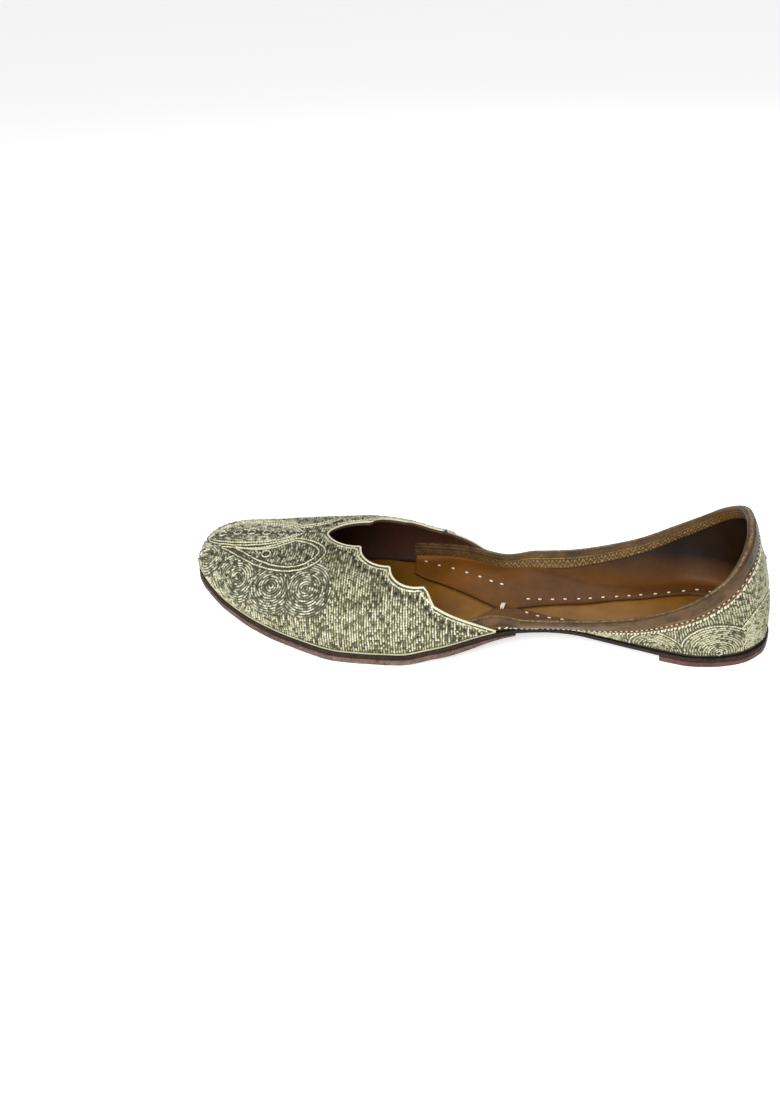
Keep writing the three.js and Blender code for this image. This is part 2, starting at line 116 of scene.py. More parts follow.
# The collar's top edge, at shares of the way round the sole's edge from the toe tip to the heel end.
COLLAR_RIM = {
    "along": [0.37, 0.456, 0.517, 0.57, 0.641, 0.736, 0.827, 0.889, 0.936, 0.97, 1],
    "at": [0.64, 0.545, 0.482, 0.427, 0.349, 0.24, 0.152, 0.093, 0.056, 0.045, 0.042],
    "wide": [0.9, 0.83, 0.738, 0.738, 0.751, 0.821, 0.86, 0.781, 0.505, 0.25, 0],
    "high": [0.262, 0.292, 0.31, 0.321, 0.339, 0.42, 0.58, 0.748, 0.912, 0.98, 1],
}
# The free edge of the lining turned in over the insole, and the place on the wall each row joins.
WING_EDGE = {
    "along": [0.38, 0.462, 0.537, 0.568, 0.626, 0.673, 0.715, 0.762, 0.81, 0.85, 0.9, 0.955, 1],
    "at": [0.631, 0.537, 0.462, 0.43, 0.365, 0.312, 0.265, 0.214, 0.164, 0.125, 0.098, 0.083, 0.078],
    "left": [0.84, 0.7, 0.212, 0.207, 0.33, 0.345, 0.36, 0.38, 0.41, 0.44, 0.42, 0.25, 0],
    "right": [0.61, 0.16, -0.205, -0.2, -0.047, 0.051, 0.181, 0.288, 0.386, 0.44, 0.42, 0.25, 0],
}
TOE_HUB_AT = 222 / SHOE_LENGTH
HEEL_BREAST_AT = 47 / SHOE_LENGTH
OUTSOLE_END_AT = 108 / SHOE_LENGTH
QUARTER_FRONT_AT = 162 / SHOE_LENGTH

# Soft troughs (below zero) and ridges (above) pressed into the insole and the turned-in lining.
# x counts from the heel end; turn is the crease's direction in degrees from the shoe's length.
CREASES = {
    "x": [128, 143, 118, 104, 88, 150, 133, 60, 35, 22],
    "y": [9, -14, -17, 13, -8, 18, -26, 21, -20, 4],
    "turn": [62, 115, 40, 150, 20, 75, 100, 8, 170, 90],
    "length": [26, 30, 18, 22, 30, 22, 16, 34, 28, 18],
    "width": [2.6, 3.4, 2.2, 2.4, 4, 3, 2, 3.6, 3.2, 3],
    "depth": [-0.28, -0.34, -0.3, -0.26, 0.25, -0.24, -0.3, 0.3, -0.26, -0.22],
}

# ---------------------------------------------------------------- tables of the embroidery

# The vamp's pattern is drawn flat: x counts from the heel end, y from the ridge along a rib.
CENTRE_LEAF = {
    "x": [205.5, 209.9, 213.6, 221.7, 232.7, 241.5, 248.5, 252.2],
    "half": [0, 4.4, 7.2, 9.9, 11.2, 9.6, 5.6, 0],
}
SIDE_LEAF = {
    "x": [
        241.5, 236.5, 231.4, 222.3, 214.4, 206.7, 199.2, 194.2, 192.2, 194.4, 198.8, 203.5, 208, 213.5, 220,
        230,
    ],
    "y": [11.8, 15.2, 18.4, 23.0, 25.6, 26.4, 24.9, 20.8, 16.4, 12.0, 8.6, 6.4, 5.4, 8.6, 11.9, 13.3],
}
FANS = {
    "x": [247.6, 231.0, 214.3, 198.2],
    "y": [14.8, 28.2, 33.0, 35.0],
    "reach": [9.5, 11.5, 12.5, 12.6],
}
CENTRE_STONES_X = [244.5, 236.8, 230.5, 223.2, 216.2]
SIDE_STONE = (219.6, 16.4)
# The quarter's pattern: u runs round the sole's edge from the heel end, v is the height on the wall.
SCALES = {"u": [13.5, 40.6, 67.0], "v": [1.0, 2.5, 1.5], "reach": [21.0, 15.6, 11.5]}
HEEL_STONE = (0.0, 33.0)

# ---------------------------------------------------------------- curves and levels


def track(place, value):
    """A monotone cubic through the points: each tangent is the harmonic mean of the slopes beside it."""
    order = np.argsort(place)
    p, v = np.asarray(place, float)[order], np.asarray(value, float)[order]
    slope = np.diff(v) / np.diff(p)
    before, after = np.r_[slope[:1], slope], np.r_[slope, slope[-1:]]
    total = np.where(before + after == 0, 1, before + after)
    tangent = np.where(before * after > 0, 2 * before * after / total, 0)

    def curve(x):
        x = np.clip(np.asarray(x, float), p[0], p[-1])
        i = np.clip(np.searchsorted(p, x, side="left") - 1, 0, len(p) - 2)
        width = p[i + 1] - p[i]
        t = (x - p[i]) / width
        start = (1 + 2 * t) * (1 - t) ** 2 * v[i] + t * (1 - t) ** 2 * width * tangent[i]
        return start + t * t * (3 - 2 * t) * v[i + 1] - t * t * (1 - t) * width * tangent[i + 1]

    return curve


def column_track(table, key, column):
    return track(table[key], table[column])


def smoothstep(x, low, high):
    t = np.clip((np.asarray(x, float) - low) / (high - low), 0, 1)
    return t * t * (3 - 2 * t)


def x_at(at):
    return (np.asarray(at, float) - 0.5) * SHOE_LENGTH


def at_of(x):
    return np.asarray(x, float) / SHOE_LENGTH + 0.5


def closed_curve(points, per_span):
    """A closed centripetal Catmull-Rom curve: cubic spans, knots the root of a chord apart."""
    a, b, c, d = (np.roll(points, 1 - k, axis=0) for k in range(4))
    chord = lambda p, q: np.sum((p - q) ** 2, axis=1)[:, None] ** 0.25
    before, here, after = chord(a, b), chord(b, c), chord(c, d)
    leave = ((b - a) / before - (c - a) / (before + here) + (c - b) / here) * here
    arrive = ((c - b) / here - (d - b) / (here + after) + (d - c) / after) * here
    t = np.linspace(0, 1, per_span, endpoint=False)[None, :, None]
    b, c, leave, arrive = (v[:, None] for v in (b, c, leave, arrive))
    span = b + leave * t + (
        -3 * b + 3 * c - 2 * leave - arrive
    ) * t**2 + (2 * b - 2 * c + leave + arrive) * t**3
    span = span.reshape(-1, 2)
    return np.vstack([span, span[:1]])


def half_edge():
    """The sole's left edge from toe tip to heel end: shares of the way, points, tangents and length."""
    left = np.stack([x_at(SOLE_OUTLINE["at"]), np.array(SOLE_OUTLINE["wide"]) * HALF_BALL], 1)
    curve = closed_curve(np.vstack([left, left[1:-1][::-1] * [1, -1]]), 300)
    length = np.r_[0, np.cumsum(np.linalg.norm(np.diff(curve, axis=0), axis=1))]
    kept = length <= length[-1] * 0.5000001
    share = length[kept] * 2 / length[-1]
    tangent = np.gradient(curve[kept], share, axis=0)
    return share, curve[kept], tangent / np.linalg.norm(tangent, axis=1)[:, None], length[-1] / 2


EDGE_SHARE, EDGE_POINT, EDGE_TANGENT, HALF_EDGE = half_edge()


def edge_at(along):
    """Point of the sole's left edge and its way outward, which is the tangent turned a quarter."""
    along = np.clip(np.asarray(along, float), 0, 1)
    x, y = (np.interp(along, EDGE_SHARE, EDGE_POINT[:, k]) for k in (0, 1))
    out_x = np.interp(along, EDGE_SHARE, EDGE_TANGENT[:, 1])
    out_y = -np.interp(along, EDGE_SHARE, EDGE_TANGENT[:, 0])
    ends = (along <= 0) | (along >= 1)
    out_x = np.where(along <= 0, 1, np.where(along >= 1, -1, out_x))
    y, out_y = np.where(ends, 0, y), np.where(ends, 0, out_y)
    size = np.hypot(out_x, out_y)
    return x, y, out_x / size, out_y / size


def inside(along, inset):
    x, y, out_x, out_y = edge_at(along)
    return x - out_x * inset, y - out_y * inset


def along_at(at):
    return np.interp(-np.asarray(at, float), -at_of(EDGE_POINT[:, 0]), EDGE_SHARE)


lift_at = column_track(SOLE_PROFILE, "at", "lift")
dish_at = column_track(SOLE_PROFILE, "at", "dish")
crown_at = column_track(VAMP_RIBS, "at", "crown")
settle_at = column_track(VAMP_RIBS, "at", "settle")
full_at = column_track(VAMP_RIBS, "at", "full")
rim_place_at = column_track(COLLAR_RIM, "along", "at")
rim_wide_at = column_track(COLLAR_RIM, "along", "wide")
rim_high_at = column_track(COLLAR_RIM, "along", "high")


def underside(x, y):
    """Height of the midsole's underside: the edge's lift, less the dish of its middle."""
    at = np.clip(at_of(x), 0, 1)
    width = np.maximum(edge_at(along_at(at))[1], 1e-6)
    return lift_at(at) - dish_at(at) * (1 - np.minimum(np.abs(y) / width, 1) ** 2)


def seat(x, y):
    return underside(x, y) + MIDSOLE_THICKNESS + GAP


def creased(x, y):
    """Sum of the creases: a Gaussian across each one, faded by a raised cosine towards its ends."""
    total = np.zeros(np.broadcast(x, y).shape)
    for cx, cy, turn, length, width, depth in zip(*CREASES.values()):
        angle = math.radians(turn)
        dx, dy = x - (cx - SHOE_LENGTH / 2), y - cy
        lengthways = dx * math.cos(angle) + dy * math.sin(angle)
        across = -dx * math.sin(angle) + dy * math.cos(angle) + lengthways**2 / (length * 6)
        fade = 0.5 + 0.5 * np.cos(np.clip(2 * math.pi * lengthways / length / 2, -math.pi, math.pi))
        total = total + depth * np.exp(-((across / width) ** 2)) * fade
    return total


def insole_top(x, y):
    return seat(x, y) + INSOLE_THICKNESS + 0.6 * creased(x, y)


def vamp_rib(side, along, depth):
    """What a rib of the vamp needs: foot, way outward, crown, ridge place, base and fullness."""
    x, y, out_x, out_y = edge_at(along)
    at = at_of(x)
    foot_x, foot_y = x - out_x * (EDGE_MARGIN + depth), y - out_y * (EDGE_MARGIN + depth)
    ridge = np.minimum(at, TOE_HUB_AT)
    crown = crown_at(ridge) * INSTEP_HEIGHT - np.where(side < 0, settle_at(ridge), 0) - depth
    return foot_x, foot_y, out_x, out_y, crown, x_at(ridge), seat(foot_x, foot_y) - FOOT_TRIM, full_at(at)


def vamp_at(side, along, rise, depth):
    """A point of the vamp. At a share r of the way up, a rib has come 1 - (1 - r^n)^(1/n) of the way in."""
    foot_x, foot_y, out_x, out_y, crown, ridge_x, base, full = vamp_rib(side, along, depth)
    up = np.clip(rise, 0, 1)
    inward = 1 - (1 - up**full) ** (1 / full)
    swell = VAMP_BULGE * np.sin(np.pi * up**0.7) * (1 - inward)
    x = foot_x + (ridge_x - foot_x) * inward + out_x * swell
    y = foot_y * (1 - inward) + out_y * swell
    return np.stack(np.broadcast_arrays(x, side * y, base + (crown - base) * up), -1)


def rise_of_girth(girth, full):
    return np.sin(np.clip(girth, 0, 1) * np.pi / 2) ** (2 / full)


def girth_of_rise(rise, full):
    return 2 / np.pi * np.arcsin(np.clip(rise, 0, 1) ** (full / 2))


LAP_START, LAP_END = float(along_at(122 / SHOE_LENGTH)), float(along_at(102 / SHOE_LENGTH))


def lap_at(along):
    return 1 - smoothstep(along, LAP_START, LAP_END)


def quarter_at(side, along, height, depth):
    """A point of the quarter's wall: it leans in by height^1.4 and a sine swells it. Under the lap it
    follows the vamp's ribs, a lap depth further in."""
    lap = lap_at(along)
    x, y, out_x, out_y = edge_at(along)
    inset = EDGE_MARGIN + depth + LAP_DEPTH * lap
    foot_x, foot_y = x - out_x * inset, y - out_y * inset
    rim_x = x_at(rim_place_at(along)) - out_x * depth
    rim_y = np.where(np.asarray(along) >= 1, 0, rim_wide_at(along) * HALF_BALL - out_y * depth)
    base = seat(foot_x, foot_y) - FOOT_TRIM
    z = base + (rim_high_at(along) * HEEL_HEIGHT - base) * height
    lean = np.maximum(height, 0) ** 1.4
    swell = QUARTER_BULGE * np.sin(np.pi * np.clip(height, 0, 1)) * (1 - lap)
    wall_x = foot_x + (rim_x - foot_x) * lean + out_x * swell
    wall_y = foot_y + (rim_y - foot_y) * lean + out_y * swell
    rib = vamp_rib(side, along, depth + LAP_DEPTH)
    lapped = vamp_at(side, along, (z - rib[6]) / (rib[4] - rib[6]), depth + LAP_DEPTH)
    wall_x = wall_x + (lapped[..., 0] - wall_x) * lap
    wall_y = wall_y + (side * lapped[..., 1] - wall_y) * lap
    return np.stack(np.broadcast_arrays(wall_x, side * wall_y, z), -1)


def wall_height(along):
    """Height of the quarter's wall, from its foot to its rim."""
    foot = quarter_at(1, along, 0.0, 0.0)
    return rim_high_at(along) * HEEL_HEIGHT - foot[..., 2]


INNER_FOOT_ALONG = [0, float(along_at(0.69)), float(along_at(0.65)), LAP_START, LAP_END + 0.01, 1]
INNER_FOOT_INSET = [3.3, 3.3, 4.9, 4.9, 3.4, 3.3]
inner_foot = track(INNER_FOOT_ALONG, INNER_FOOT_INSET)


def throat_curve(side, per_scallop=14, flank_steps=26):
    """The throat's edge on one side from its point back, as places along the edge and shares risen.

    Each scallop is a quarter turn: place moves by 1 - cos, share round the rib by sin. The first starts
    part way round, so that the throat ends in a point. The flank is straight."""
    share = THROAT_CUSPS["left" if side > 0 else "right"]
    at_list, girth_list = [], []
    for i in range(3):
        first = 0 if i else TIP_TURN
        turn = np.linspace(first, np.pi / 2, per_scallop + 1)[(1 if i else 0):]
        back = 1 - np.cos(turn) / math.cos(first)
        round_rib = (np.sin(turn) - math.sin(first)) / (1 - math.sin(first))
        start, end = THROAT_CUSPS["at"][i], THROAT_CUSPS["at"][i + 1]
        at_list.append(start + (end - start) * back)
        girth_list.append(share[i] + (share[i + 1] - share[i]) * round_rib)
    at = np.concatenate(at_list)
    along = along_at(at)
    rise = rise_of_girth(np.concatenate(girth_list), full_at(at))
    t = np.linspace(0, 1, flank_steps)
    flank = along_at(VAMP_FLANK["at"][0] + (VAMP_FLANK["at"][1] - VAMP_FLANK["at"][0]) * t)
    low, high = VAMP_FLANK["left" if side > 0 else "right"][::-1]
    rib = vamp_rib(side, flank, 0.0)
    return np.r_[along, flank], np.r_[rise, (high + (low - high) * t) / (rib[4] - rib[6])]


# ---------------------------------------------------------------- flat patterns laid on the form

GROUND_DEPTH = 0.35  # the leather under the embroidery lies this far inside the form's face
HUB_X = TOE_HUB_AT * SHOE_LENGTH


class VampPattern:
    """Lays flat pattern places on one side of the vamp.

    Behind the toe's hub x is the rib's place and y the distance from the ridge. In front of it the pattern
    fans round the hub: a place's angle picks the rib, and its distance from the hub runs along that rib."""

    STEP = 0.5

    def __init__(self, side):
        self.side = side
        self.along = np.linspace(0, float(along_at(0.44)), 260)
        foot_x, foot_y, *_ = vamp_rib(1, self.along, 0.0)
        self.station = at_of(edge_at(self.along)[0]) * SHOE_LENGTH
        self.angle = np.where(
            self.station > HUB_X, np.arctan2(foot_y, foot_x - x_at(TOE_HUB_AT)), np.pi / 2,
        )
        girth = np.linspace(0, 1, 160)
        full = full_at(at_of(edge_at(self.along)[0]))
        wall = vamp_at(side, self.along[:, None], rise_of_girth(girth[None], full[:, None]), GROUND_DEPTH)
        run = np.linalg.norm(np.diff(wall, axis=1), axis=2)
        up = np.concatenate([np.zeros((len(self.along), 1)), np.cumsum(run, 1)], 1)
        distance = up[:, -1:] - up
        self.length = up[:, -1]
        steps = np.arange(0, 90, self.STEP)
        self.share = np.array([np.interp(steps, d[::-1], girth[::-1]) for d in distance])
        along, rise = throat_curve(side, 40, 60)
        edge_girth = girth_of_rise(rise, full_at(at_of(edge_at(along)[0])))
        row = np.interp(along, self.along, np.arange(len(self.along)))
        whole = np.array([np.interp(g, girth, distance[int(round(r))]) for g, r in zip(edge_girth, row)])
        self.throat_x, self.throat_y = at_of(edge_at(along)[0]) * SHOE_LENGTH, whole

    def polar(self, x, y):
        toe = x > HUB_X
        distance = np.where(toe, np.hypot(x - HUB_X, y), np.abs(y))
        angle = np.arctan2(np.abs(y), np.maximum(x - HUB_X, 1e-9))
        first = np.argmax(self.station <= HUB_X)
        by_angle = np.interp(angle, self.angle[: first + 1], self.along[: first + 1])
        by_place = np.interp(-x, -self.station, self.along)
        return np.where(toe, by_angle, by_place), distance

    def girth_of(self, along, distance):
        row = np.clip(np.interp(along, self.along, np.arange(len(self.along))), 0, len(self.along) - 1.001)
        column = np.clip(distance / self.STEP, 0, self.share.shape[1] - 1.001)
        i, j = row.astype(int), column.astype(int)
        s, t = row - i, column - j
        near = self.share[i, j] * (1 - t) + self.share[i, j + 1] * t
        far = self.share[i + 1, j] * (1 - t) + self.share[i + 1, j + 1] * t
        return near * (1 - s) + far * s

    def place(self, x, y, lift):
        along, distance = self.polar(x, y)
        full = full_at(at_of(edge_at(along)[0]))
        rise = rise_of_girth(self.girth_of(along, distance), full)
        return vamp_at(self.side, along, rise, GROUND_DEPTH - lift)

    def throat_at(self, x):
        """How far from the ridge the throat's edge lies at a place."""
        return np.where(x > self.throat_x[0], 0, np.interp(-x, -self.throat_x, self.throat_y))

    def holds(self, x, y, margin=0.9):
        along, distance = self.polar(x, y)
        top = self.throat_at(x) + 1.6
        limit = np.interp(along, self.along, self.length) - margin
        return (distance < limit) & ((x > 196) | (y > top)) & (x > 117.5)


class QuarterPattern:
    """Lays flat pattern places on one side of the quarter: u round the sole's edge from the heel, v up."""

    def __init__(self, side):
        self.side = side

    def place(self, u, v, lift):
        along = 1 - np.abs(u) / HALF_EDGE
        return quarter_at(self.side, along, v / wall_height(along), GROUND_DEPTH - lift)

    def top(self, u):
        return wall_height(1 - np.abs(u) / HALF_EDGE)

    def holds(self, u, v):
        return (u >= 0.4) & (u < 138) & (v > 1.1) & (v < self.top(u) - 8.9)


def noise_of(*keys):
    """A repeatable value from 0 to 1 for whole-number keys: the fraction of a large multiple of a sine."""
    total = sum(np.asarray(k, float) * w for k, w in zip(keys, (12.9898, 78.233, 37.719)))
    value = np.sin(total) * 43758.5453
    return value - np.floor(value)


def in_outline(x, y, outline):
    """True inside a closed outline, by counting the edges crossed on the way out."""
    inside_it = np.zeros(np.shape(x), bool)
    ends = np.roll(outline, -1, axis=0)
    for (ax, ay), (bx, by) in zip(outline, ends):
        if ay == by:
            continue
        crossed = ((ay > y) != (by > y)) & (x < (bx - ax) * (y - ay) / (by - ay) + ax)
        inside_it ^= crossed
    return inside_it


def evenly(points, step):
    """The same line with its points evenly spaced, about a step apart."""
    run = np.r_[0, np.cumsum(np.hypot(*np.diff(points, axis=0).T))]
    count = max(2, int(round(run[-1] / step)) + 1)
    s = np.linspace(0, run[-1], count)
    return np.stack([np.interp(s, run, points[:, 0]), np.interp(s, run, points[:, 1])], 1)


def runs_of(points, kept, shortest=3):
    """The unbroken stretches of a line whose points are kept."""
    edges = np.flatnonzero(np.diff(np.r_[0, kept.astype(int), 0]))
    return [points[a:b] for a, b in zip(edges[::2], edges[1::2]) if b - a >= shortest]


def circle_line(x, y, radius, step, start=0.0, turn=2 * np.pi):
    count = max(8, int(abs(turn) * radius / step) + 1)
    angle = start + np.linspace(0, turn, count)
    return np.stack([x + radius * np.cos(angle), y + radius * np.sin(angle)], 1)


# ---------------------------------------------------------------- meshes


def grid_faces(columns, rows, wrap_rows=False, start=0):
    """Quads of a grid whose points run row by row within each column."""
    i = np.arange(columns - 1)[:, None]
    j = np.arange(rows if wrap_rows else rows - 1)[None]
    a = i * rows + j
    b = (i + 1) * rows + j
    c = (i + 1) * rows + (j + 1) % rows
    d = i * rows + (j + 1) % rows
    return np.stack([a, b, c, d], -1).reshape(-1, 4) + start


def new_mesh(name, points, faces, values=None, uv=None):
    """A mesh from arrays in mm. faces is a list of arrays of polygons; values are point attributes."""
    mesh = bpy.data.meshes.new(name)
    faces = [np.asarray(f, np.int32) for f in faces if len(f)]
    corners = np.concatenate([f.ravel() for f in faces])
    sizes = np.concatenate([np.full(len(f), f.shape[1], np.int32) for f in faces])
    mesh.vertices.add(len(points))
    mesh.vertices.foreach_set("co", (np.asarray(points, np.float64) * MM).astype(np.float32).ravel())
    mesh.loops.add(len(corners))
    mesh.loops.foreach_set("vertex_index", corners)
    mesh.polygons.add(len(sizes))
    mesh.polygons.foreach_set("loop_start", np.r_[0, np.cumsum(sizes)[:-1]].astype(np.int32))
    mesh.polygons.foreach_set("loop_total", sizes)
    mesh.polygons.foreach_set("use_smooth", np.ones(len(sizes), bool))
    for key, value in (values or {}).items():
        layer = mesh.attributes.new(key, "FLOAT", "POINT")
        layer.data.foreach_set("value", np.asarray(value, np.float32).ravel())
    if uv is not None:
        layer = mesh.uv_layers.new(name="UVMap")
        layer.data.foreach_set("uv", np.asarray(uv, np.float32)[corners].ravel())
    mesh.update(calc_edges=True)
    mesh.validate()
    return mesh


WELD_DISTANCE = 0.01


def weld(mesh, fill=False):
    """Merges points that coincide, turns faces outward, and fills flat ends where asked."""
    work = bmesh.new()
    work.from_mesh(mesh)
    bmesh.ops.remove_doubles(work, verts=work.verts, dist=WELD_DISTANCE * MM)
    bmesh.ops.dissolve_degenerate(work, edges=work.edges, dist=1e-7)
    if fill:
        bmesh.ops.holes_fill(work, edges=[e for e in work.edges if e.is_boundary], sides=0)
    bmesh.ops.recalc_face_normals(work, faces=work.faces)
    work.to_mesh(mesh)
    work.free()
    mesh.update()
    return mesh


def put(mesh, slot, materials, replaces=()):
    """Makes the object for a piece, gives it its materials, hangs it on the shoe's body and hides the parts
    it replaces.
    """
    piece = bpy.data.objects.new(mesh.name, mesh)
    bpy.context.scene.collection.objects.link(piece)
    for material in materials:
        mesh.materials.append(material)
    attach(piece, "root")
    if replaces:
        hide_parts(*replaces)
    return piece


def sheet_shell(outer, inner, shut=None):
    """Points and faces of a closed wall between two grids [column, row]; shut columns have no top edge."""
    columns, rows = outer.shape[:2]
    points = np.vstack([outer.reshape(-1, 3), inner.reshape(-1, 3)])
    other = columns * rows
    face_out = grid_faces(columns, rows)
    face_in = grid_faces(columns, rows, start=other)[:, ::-1]
    i = np.arange(columns - 1)
    low = np.stack([i * rows, i * rows + other, (i + 1) * rows + other, (i + 1) * rows], 1)
    top = np.stack([i * rows, (i + 1) * rows, (i + 1) * rows + other, i * rows + other], 1) + rows - 1
    if shut is not None:
        top = top[~(shut[:-1] & shut[1:])]
    j = np.arange(rows - 1)
    first = np.stack([j, j + 1, j + 1 + other, j + other], 1)
    base = (columns - 1) * rows
    last = np.stack([j, j + other, j + 1 + other, j + 1], 1) + base
    return points, [face_out, face_in, low, top, first, last]


def cords(lines, pattern, width, height, stitch, sunk=0.12, tone=(0.0, 1.0), seed=0.0):
    """Rows of chain stitch laid on a pattern: each a closed four-sided section carried along its line.

    The section's half-width is width * (0.55 + 0.45 s) and its height is height * (0.3 + 0.7 s), where s is
    the square of the sine of pi times the stitches run, so every stitch is a grain of its own. Noise varies
    each stitch's width and height, and moves it sideways by up to 0.11 widths."""
    lines = [line for line in lines if len(line) > 1]
    if not lines:
        return np.zeros((0, 3)), [], np.zeros(0), np.zeros((0, 2))
    count = np.array([len(line) for line in lines])
    flat = np.vstack(lines)
    tangent = np.vstack([np.gradient(line, axis=0) for line in lines])
    run = np.concatenate([np.r_[0, np.cumsum(np.hypot(*np.diff(line, axis=0).T))] for line in lines])
    row = np.repeat(np.arange(len(lines)), count)
    tangent /= np.linalg.norm(tangent, axis=1)[:, None] + 1e-12
    across = np.stack([-tangent[:, 1], tangent[:, 0]], 1)
    phase = run / stitch + 0.5 * (row % 2)
    grain = np.abs(np.sin(np.pi * phase)) ** 2
    stray = 0.22 * width * (noise_of(np.floor(phase), row, seed + 11) - 0.5)
    end = np.concatenate([np.minimum(np.arange(n), np.arange(n)[::-1]) for n in count])
    taper = np.where(end == 0, 0.45, 1.0)
    half = width / 2 * (0.55 + 0.45 * grain) * taper * (
        0.85 + 0.3 * noise_of(np.floor(phase), row, seed + 3)
    )
    tall = height * (0.3 + 0.7 * grain) * taper * (0.75 + 0.5 * noise_of(np.floor(phase), row, seed + 7))
    section = np.array([[-1, 0.0], [-0.45, 1.0], [0.45, 1.0], [1, 0.0]])
    lift = np.stack([tall * h if h > 0 else np.full(len(tall), -sunk) for _, h in section], 1)
    x = flat[:, 0, None] + across[:, 0, None] * half[:, None] * section[None, :, 0]
    y = flat[:, 1, None] + across[:, 1, None] * half[:, None] * section[None, :, 0]
    x, y = x + (across[:, 0] * stray)[:, None], y + (across[:, 1] * stray)[:, None]
    points = pattern.place(x, y, lift).reshape(-1, 3)
    start = np.arange(len(flat))
    start = start[np.concatenate([np.r_[np.ones(n - 1, bool), False] for n in count])]
    k = np.arange(4)
    a = start[:, None] * 4 + k
    b = start[:, None] * 4 + (k + 1) % 4
    quads = np.stack([a, b, b + 4, a + 4], -1).reshape(-1, 4)
    first = np.r_[0, np.cumsum(count)[:-1]] * 4
    last = (np.cumsum(count) - 1) * 4
    caps = np.vstack([first[:, None] + [3, 2, 1, 0], last[:, None] + [0, 1, 2, 3]])
    value = tone[0] + (tone[1] - tone[0]) * noise_of(np.floor(phase), row, seed)
    uv = np.stack([np.repeat(run, 4), np.tile(section[:, 0], len(flat))], 1)
    return points, [quads, caps], np.repeat(value, 4), uv


def gather(parts):
    """Several meshes' arrays as one: points, faces, tone and uv."""
    points, faces, tones, uvs, start = [], [], [], [], 0
    for part_points, part_faces, tone, uv in parts:
        points.append(part_points)
        faces += [np.asarray(f) + start for f in part_faces if len(f)]
        tones.append(tone)
        uvs.append(uv)
        start += len(part_points)
    return np.vstack(points), faces, np.concatenate(tones), np.vstack(uvs)


def beads(centres, forward, up, size, rings=5, around=8, tone=0.5):
    """Small rounded grains: an ellipsoid on each centre, turned forward and up."""
    centres, forward, up = (np.asarray(v, float).reshape(-1, 3) for v in (centres, forward, up))
    forward = forward / np.linalg.norm(forward, axis=1)[:, None]
    sideways = np.cross(up, forward)
    sideways /= np.linalg.norm(sideways, axis=1)[:, None] + 1e-12
    up = np.cross(forward, sideways)
    polar = np.linspace(0.0, np.pi, rings)
    angle = np.linspace(0, 2 * np.pi, around, endpoint=False)
    unit = np.stack([
        np.sin(polar)[:, None] * np.cos(angle), np.sin(polar)[:, None] * np.sin(angle),
        np.cos(polar)[:, None] * np.ones(around)], -1)
    local = unit.reshape(-1, 3) * np.asarray(size, float)
    basis = np.stack([forward, sideways, up], 1)
    points = centres[:, None] + np.einsum("pk,nkc->npc", local, basis)
    face = grid_faces(rings, around, wrap_rows=True)
    total = rings * around
    faces = (face[None] + np.arange(len(centres))[:, None, None] * total).reshape(-1, 4)
    value = np.full(len(centres) * total, tone)
    uv = np.tile(unit.reshape(-1, 3)[:, :2], (len(centres), 1))
    return points.reshape(-1, 3), [faces], value, uv


def frames_along(path):
    tangent = np.gradient(path, axis=0)
    return tangent / (np.linalg.norm(tangent, axis=1)[:, None] + 1e-12)


def outward(points, faces):
    """Turns all faces round if the volume they close, the sum of a . (b x c) / 6, is negative."""
    volume = 0.0
    for face in faces:
        for k in range(1, face.shape[1] - 1):
            a, b, c = points[face[:, 0]], points[face[:, k]], points[face[:, k + 1]]
            volume += float(np.sum(a * np.cross(b, c)))
    return [face[:, ::-1] for face in faces] if volume < 0 else faces


def tube(path, first, second, sides):
    """An ellipse carried along a path: at angle t its point is path + first cos t + second sin t."""
    angle = np.linspace(0, 2 * np.pi, sides, endpoint=False)
    points = path[:, None] + first[:, None] * np.cos(angle)[
        None, :, None,
    ] + second[:, None] * np.sin(angle)[None, :, None]
    count = len(path)
    faces = [grid_faces(count, sides, wrap_rows=True)]
    faces.append(
        np.stack([np.zeros(sides - 2, int), np.arange(1, sides - 1) + 1, np.arange(1, sides - 1)], 1)
    )
    base = (count - 1) * sides
    faces.append(
        np.stack([np.zeros(sides - 2, int), np.arange(1, sides - 1), np.arange(1, sides - 1) + 1], 1) + base
    )
    points = points.reshape(-1, 3)
    run = np.r_[0, np.cumsum(np.linalg.norm(np.diff(path, axis=0), axis=1))]
    uv = np.stack([np.repeat(run, sides), np.tile(angle / (2 * np.pi), count)], 1)
    return points, outward(points, faces), np.full(len(points), 0.5), uv


def side_pair(build):
    """The left side's columns from front to back, then the right side's from back to front."""
    left, right = build(1), build(-1)
    return np.concatenate([left, right[::-1][1:]])


# ---------------------------------------------------------------- the upper's walls


def vamp_grid(depth, rows=34, toe_steps=64):
    """The vamp at one depth: columns go from the left flank round the toe and back on the right."""
    share = np.linspace(0, 1, rows)
    toe = float(along_at(THROAT_CUSPS["at"][0])) * np.linspace(0, 1, toe_steps) ** 0.85

    def one_side(side):
        along, rise = throat_curve(side)
        along, rise = np.r_[toe, along[1:]], np.r_[np.ones(toe_steps), rise[1:]]
        full = full_at(at_of(edge_at(along)[0]))
        girth = girth_of_rise(rise, full)[:, None] * share
        return vamp_at(side, along[:, None], rise_of_girth(girth, full[:, None]), depth)

    left, right = one_side(1), one_side(-1)
    shut = np.arange(len(left)) < toe_steps
    return np.concatenate([left[::-1], right[1:]]), np.r_[shut[::-1], shut[1:]]


def make_vamp_wall(name, outer_depth, inner_depth):
    outer, shut = vamp_grid(outer_depth)
    inner, _ = vamp_grid(inner_depth)
    points, faces = sheet_shell(outer, inner, shut)
    return weld(new_mesh(name, points, outward(points, faces)))


def quarter_grid(depth, rows=20, columns=130):
    """The quarter at one depth, from its left front end round the heel to its right one."""
    front = float(along_at(QUARTER_FRONT_AT))
    along = front + (1 - front) * np.linspace(0, 1, columns)
    height = np.linspace(0, 1, rows)
    return side_pair(lambda side: quarter_at(side, along[:, None], height[None], depth))


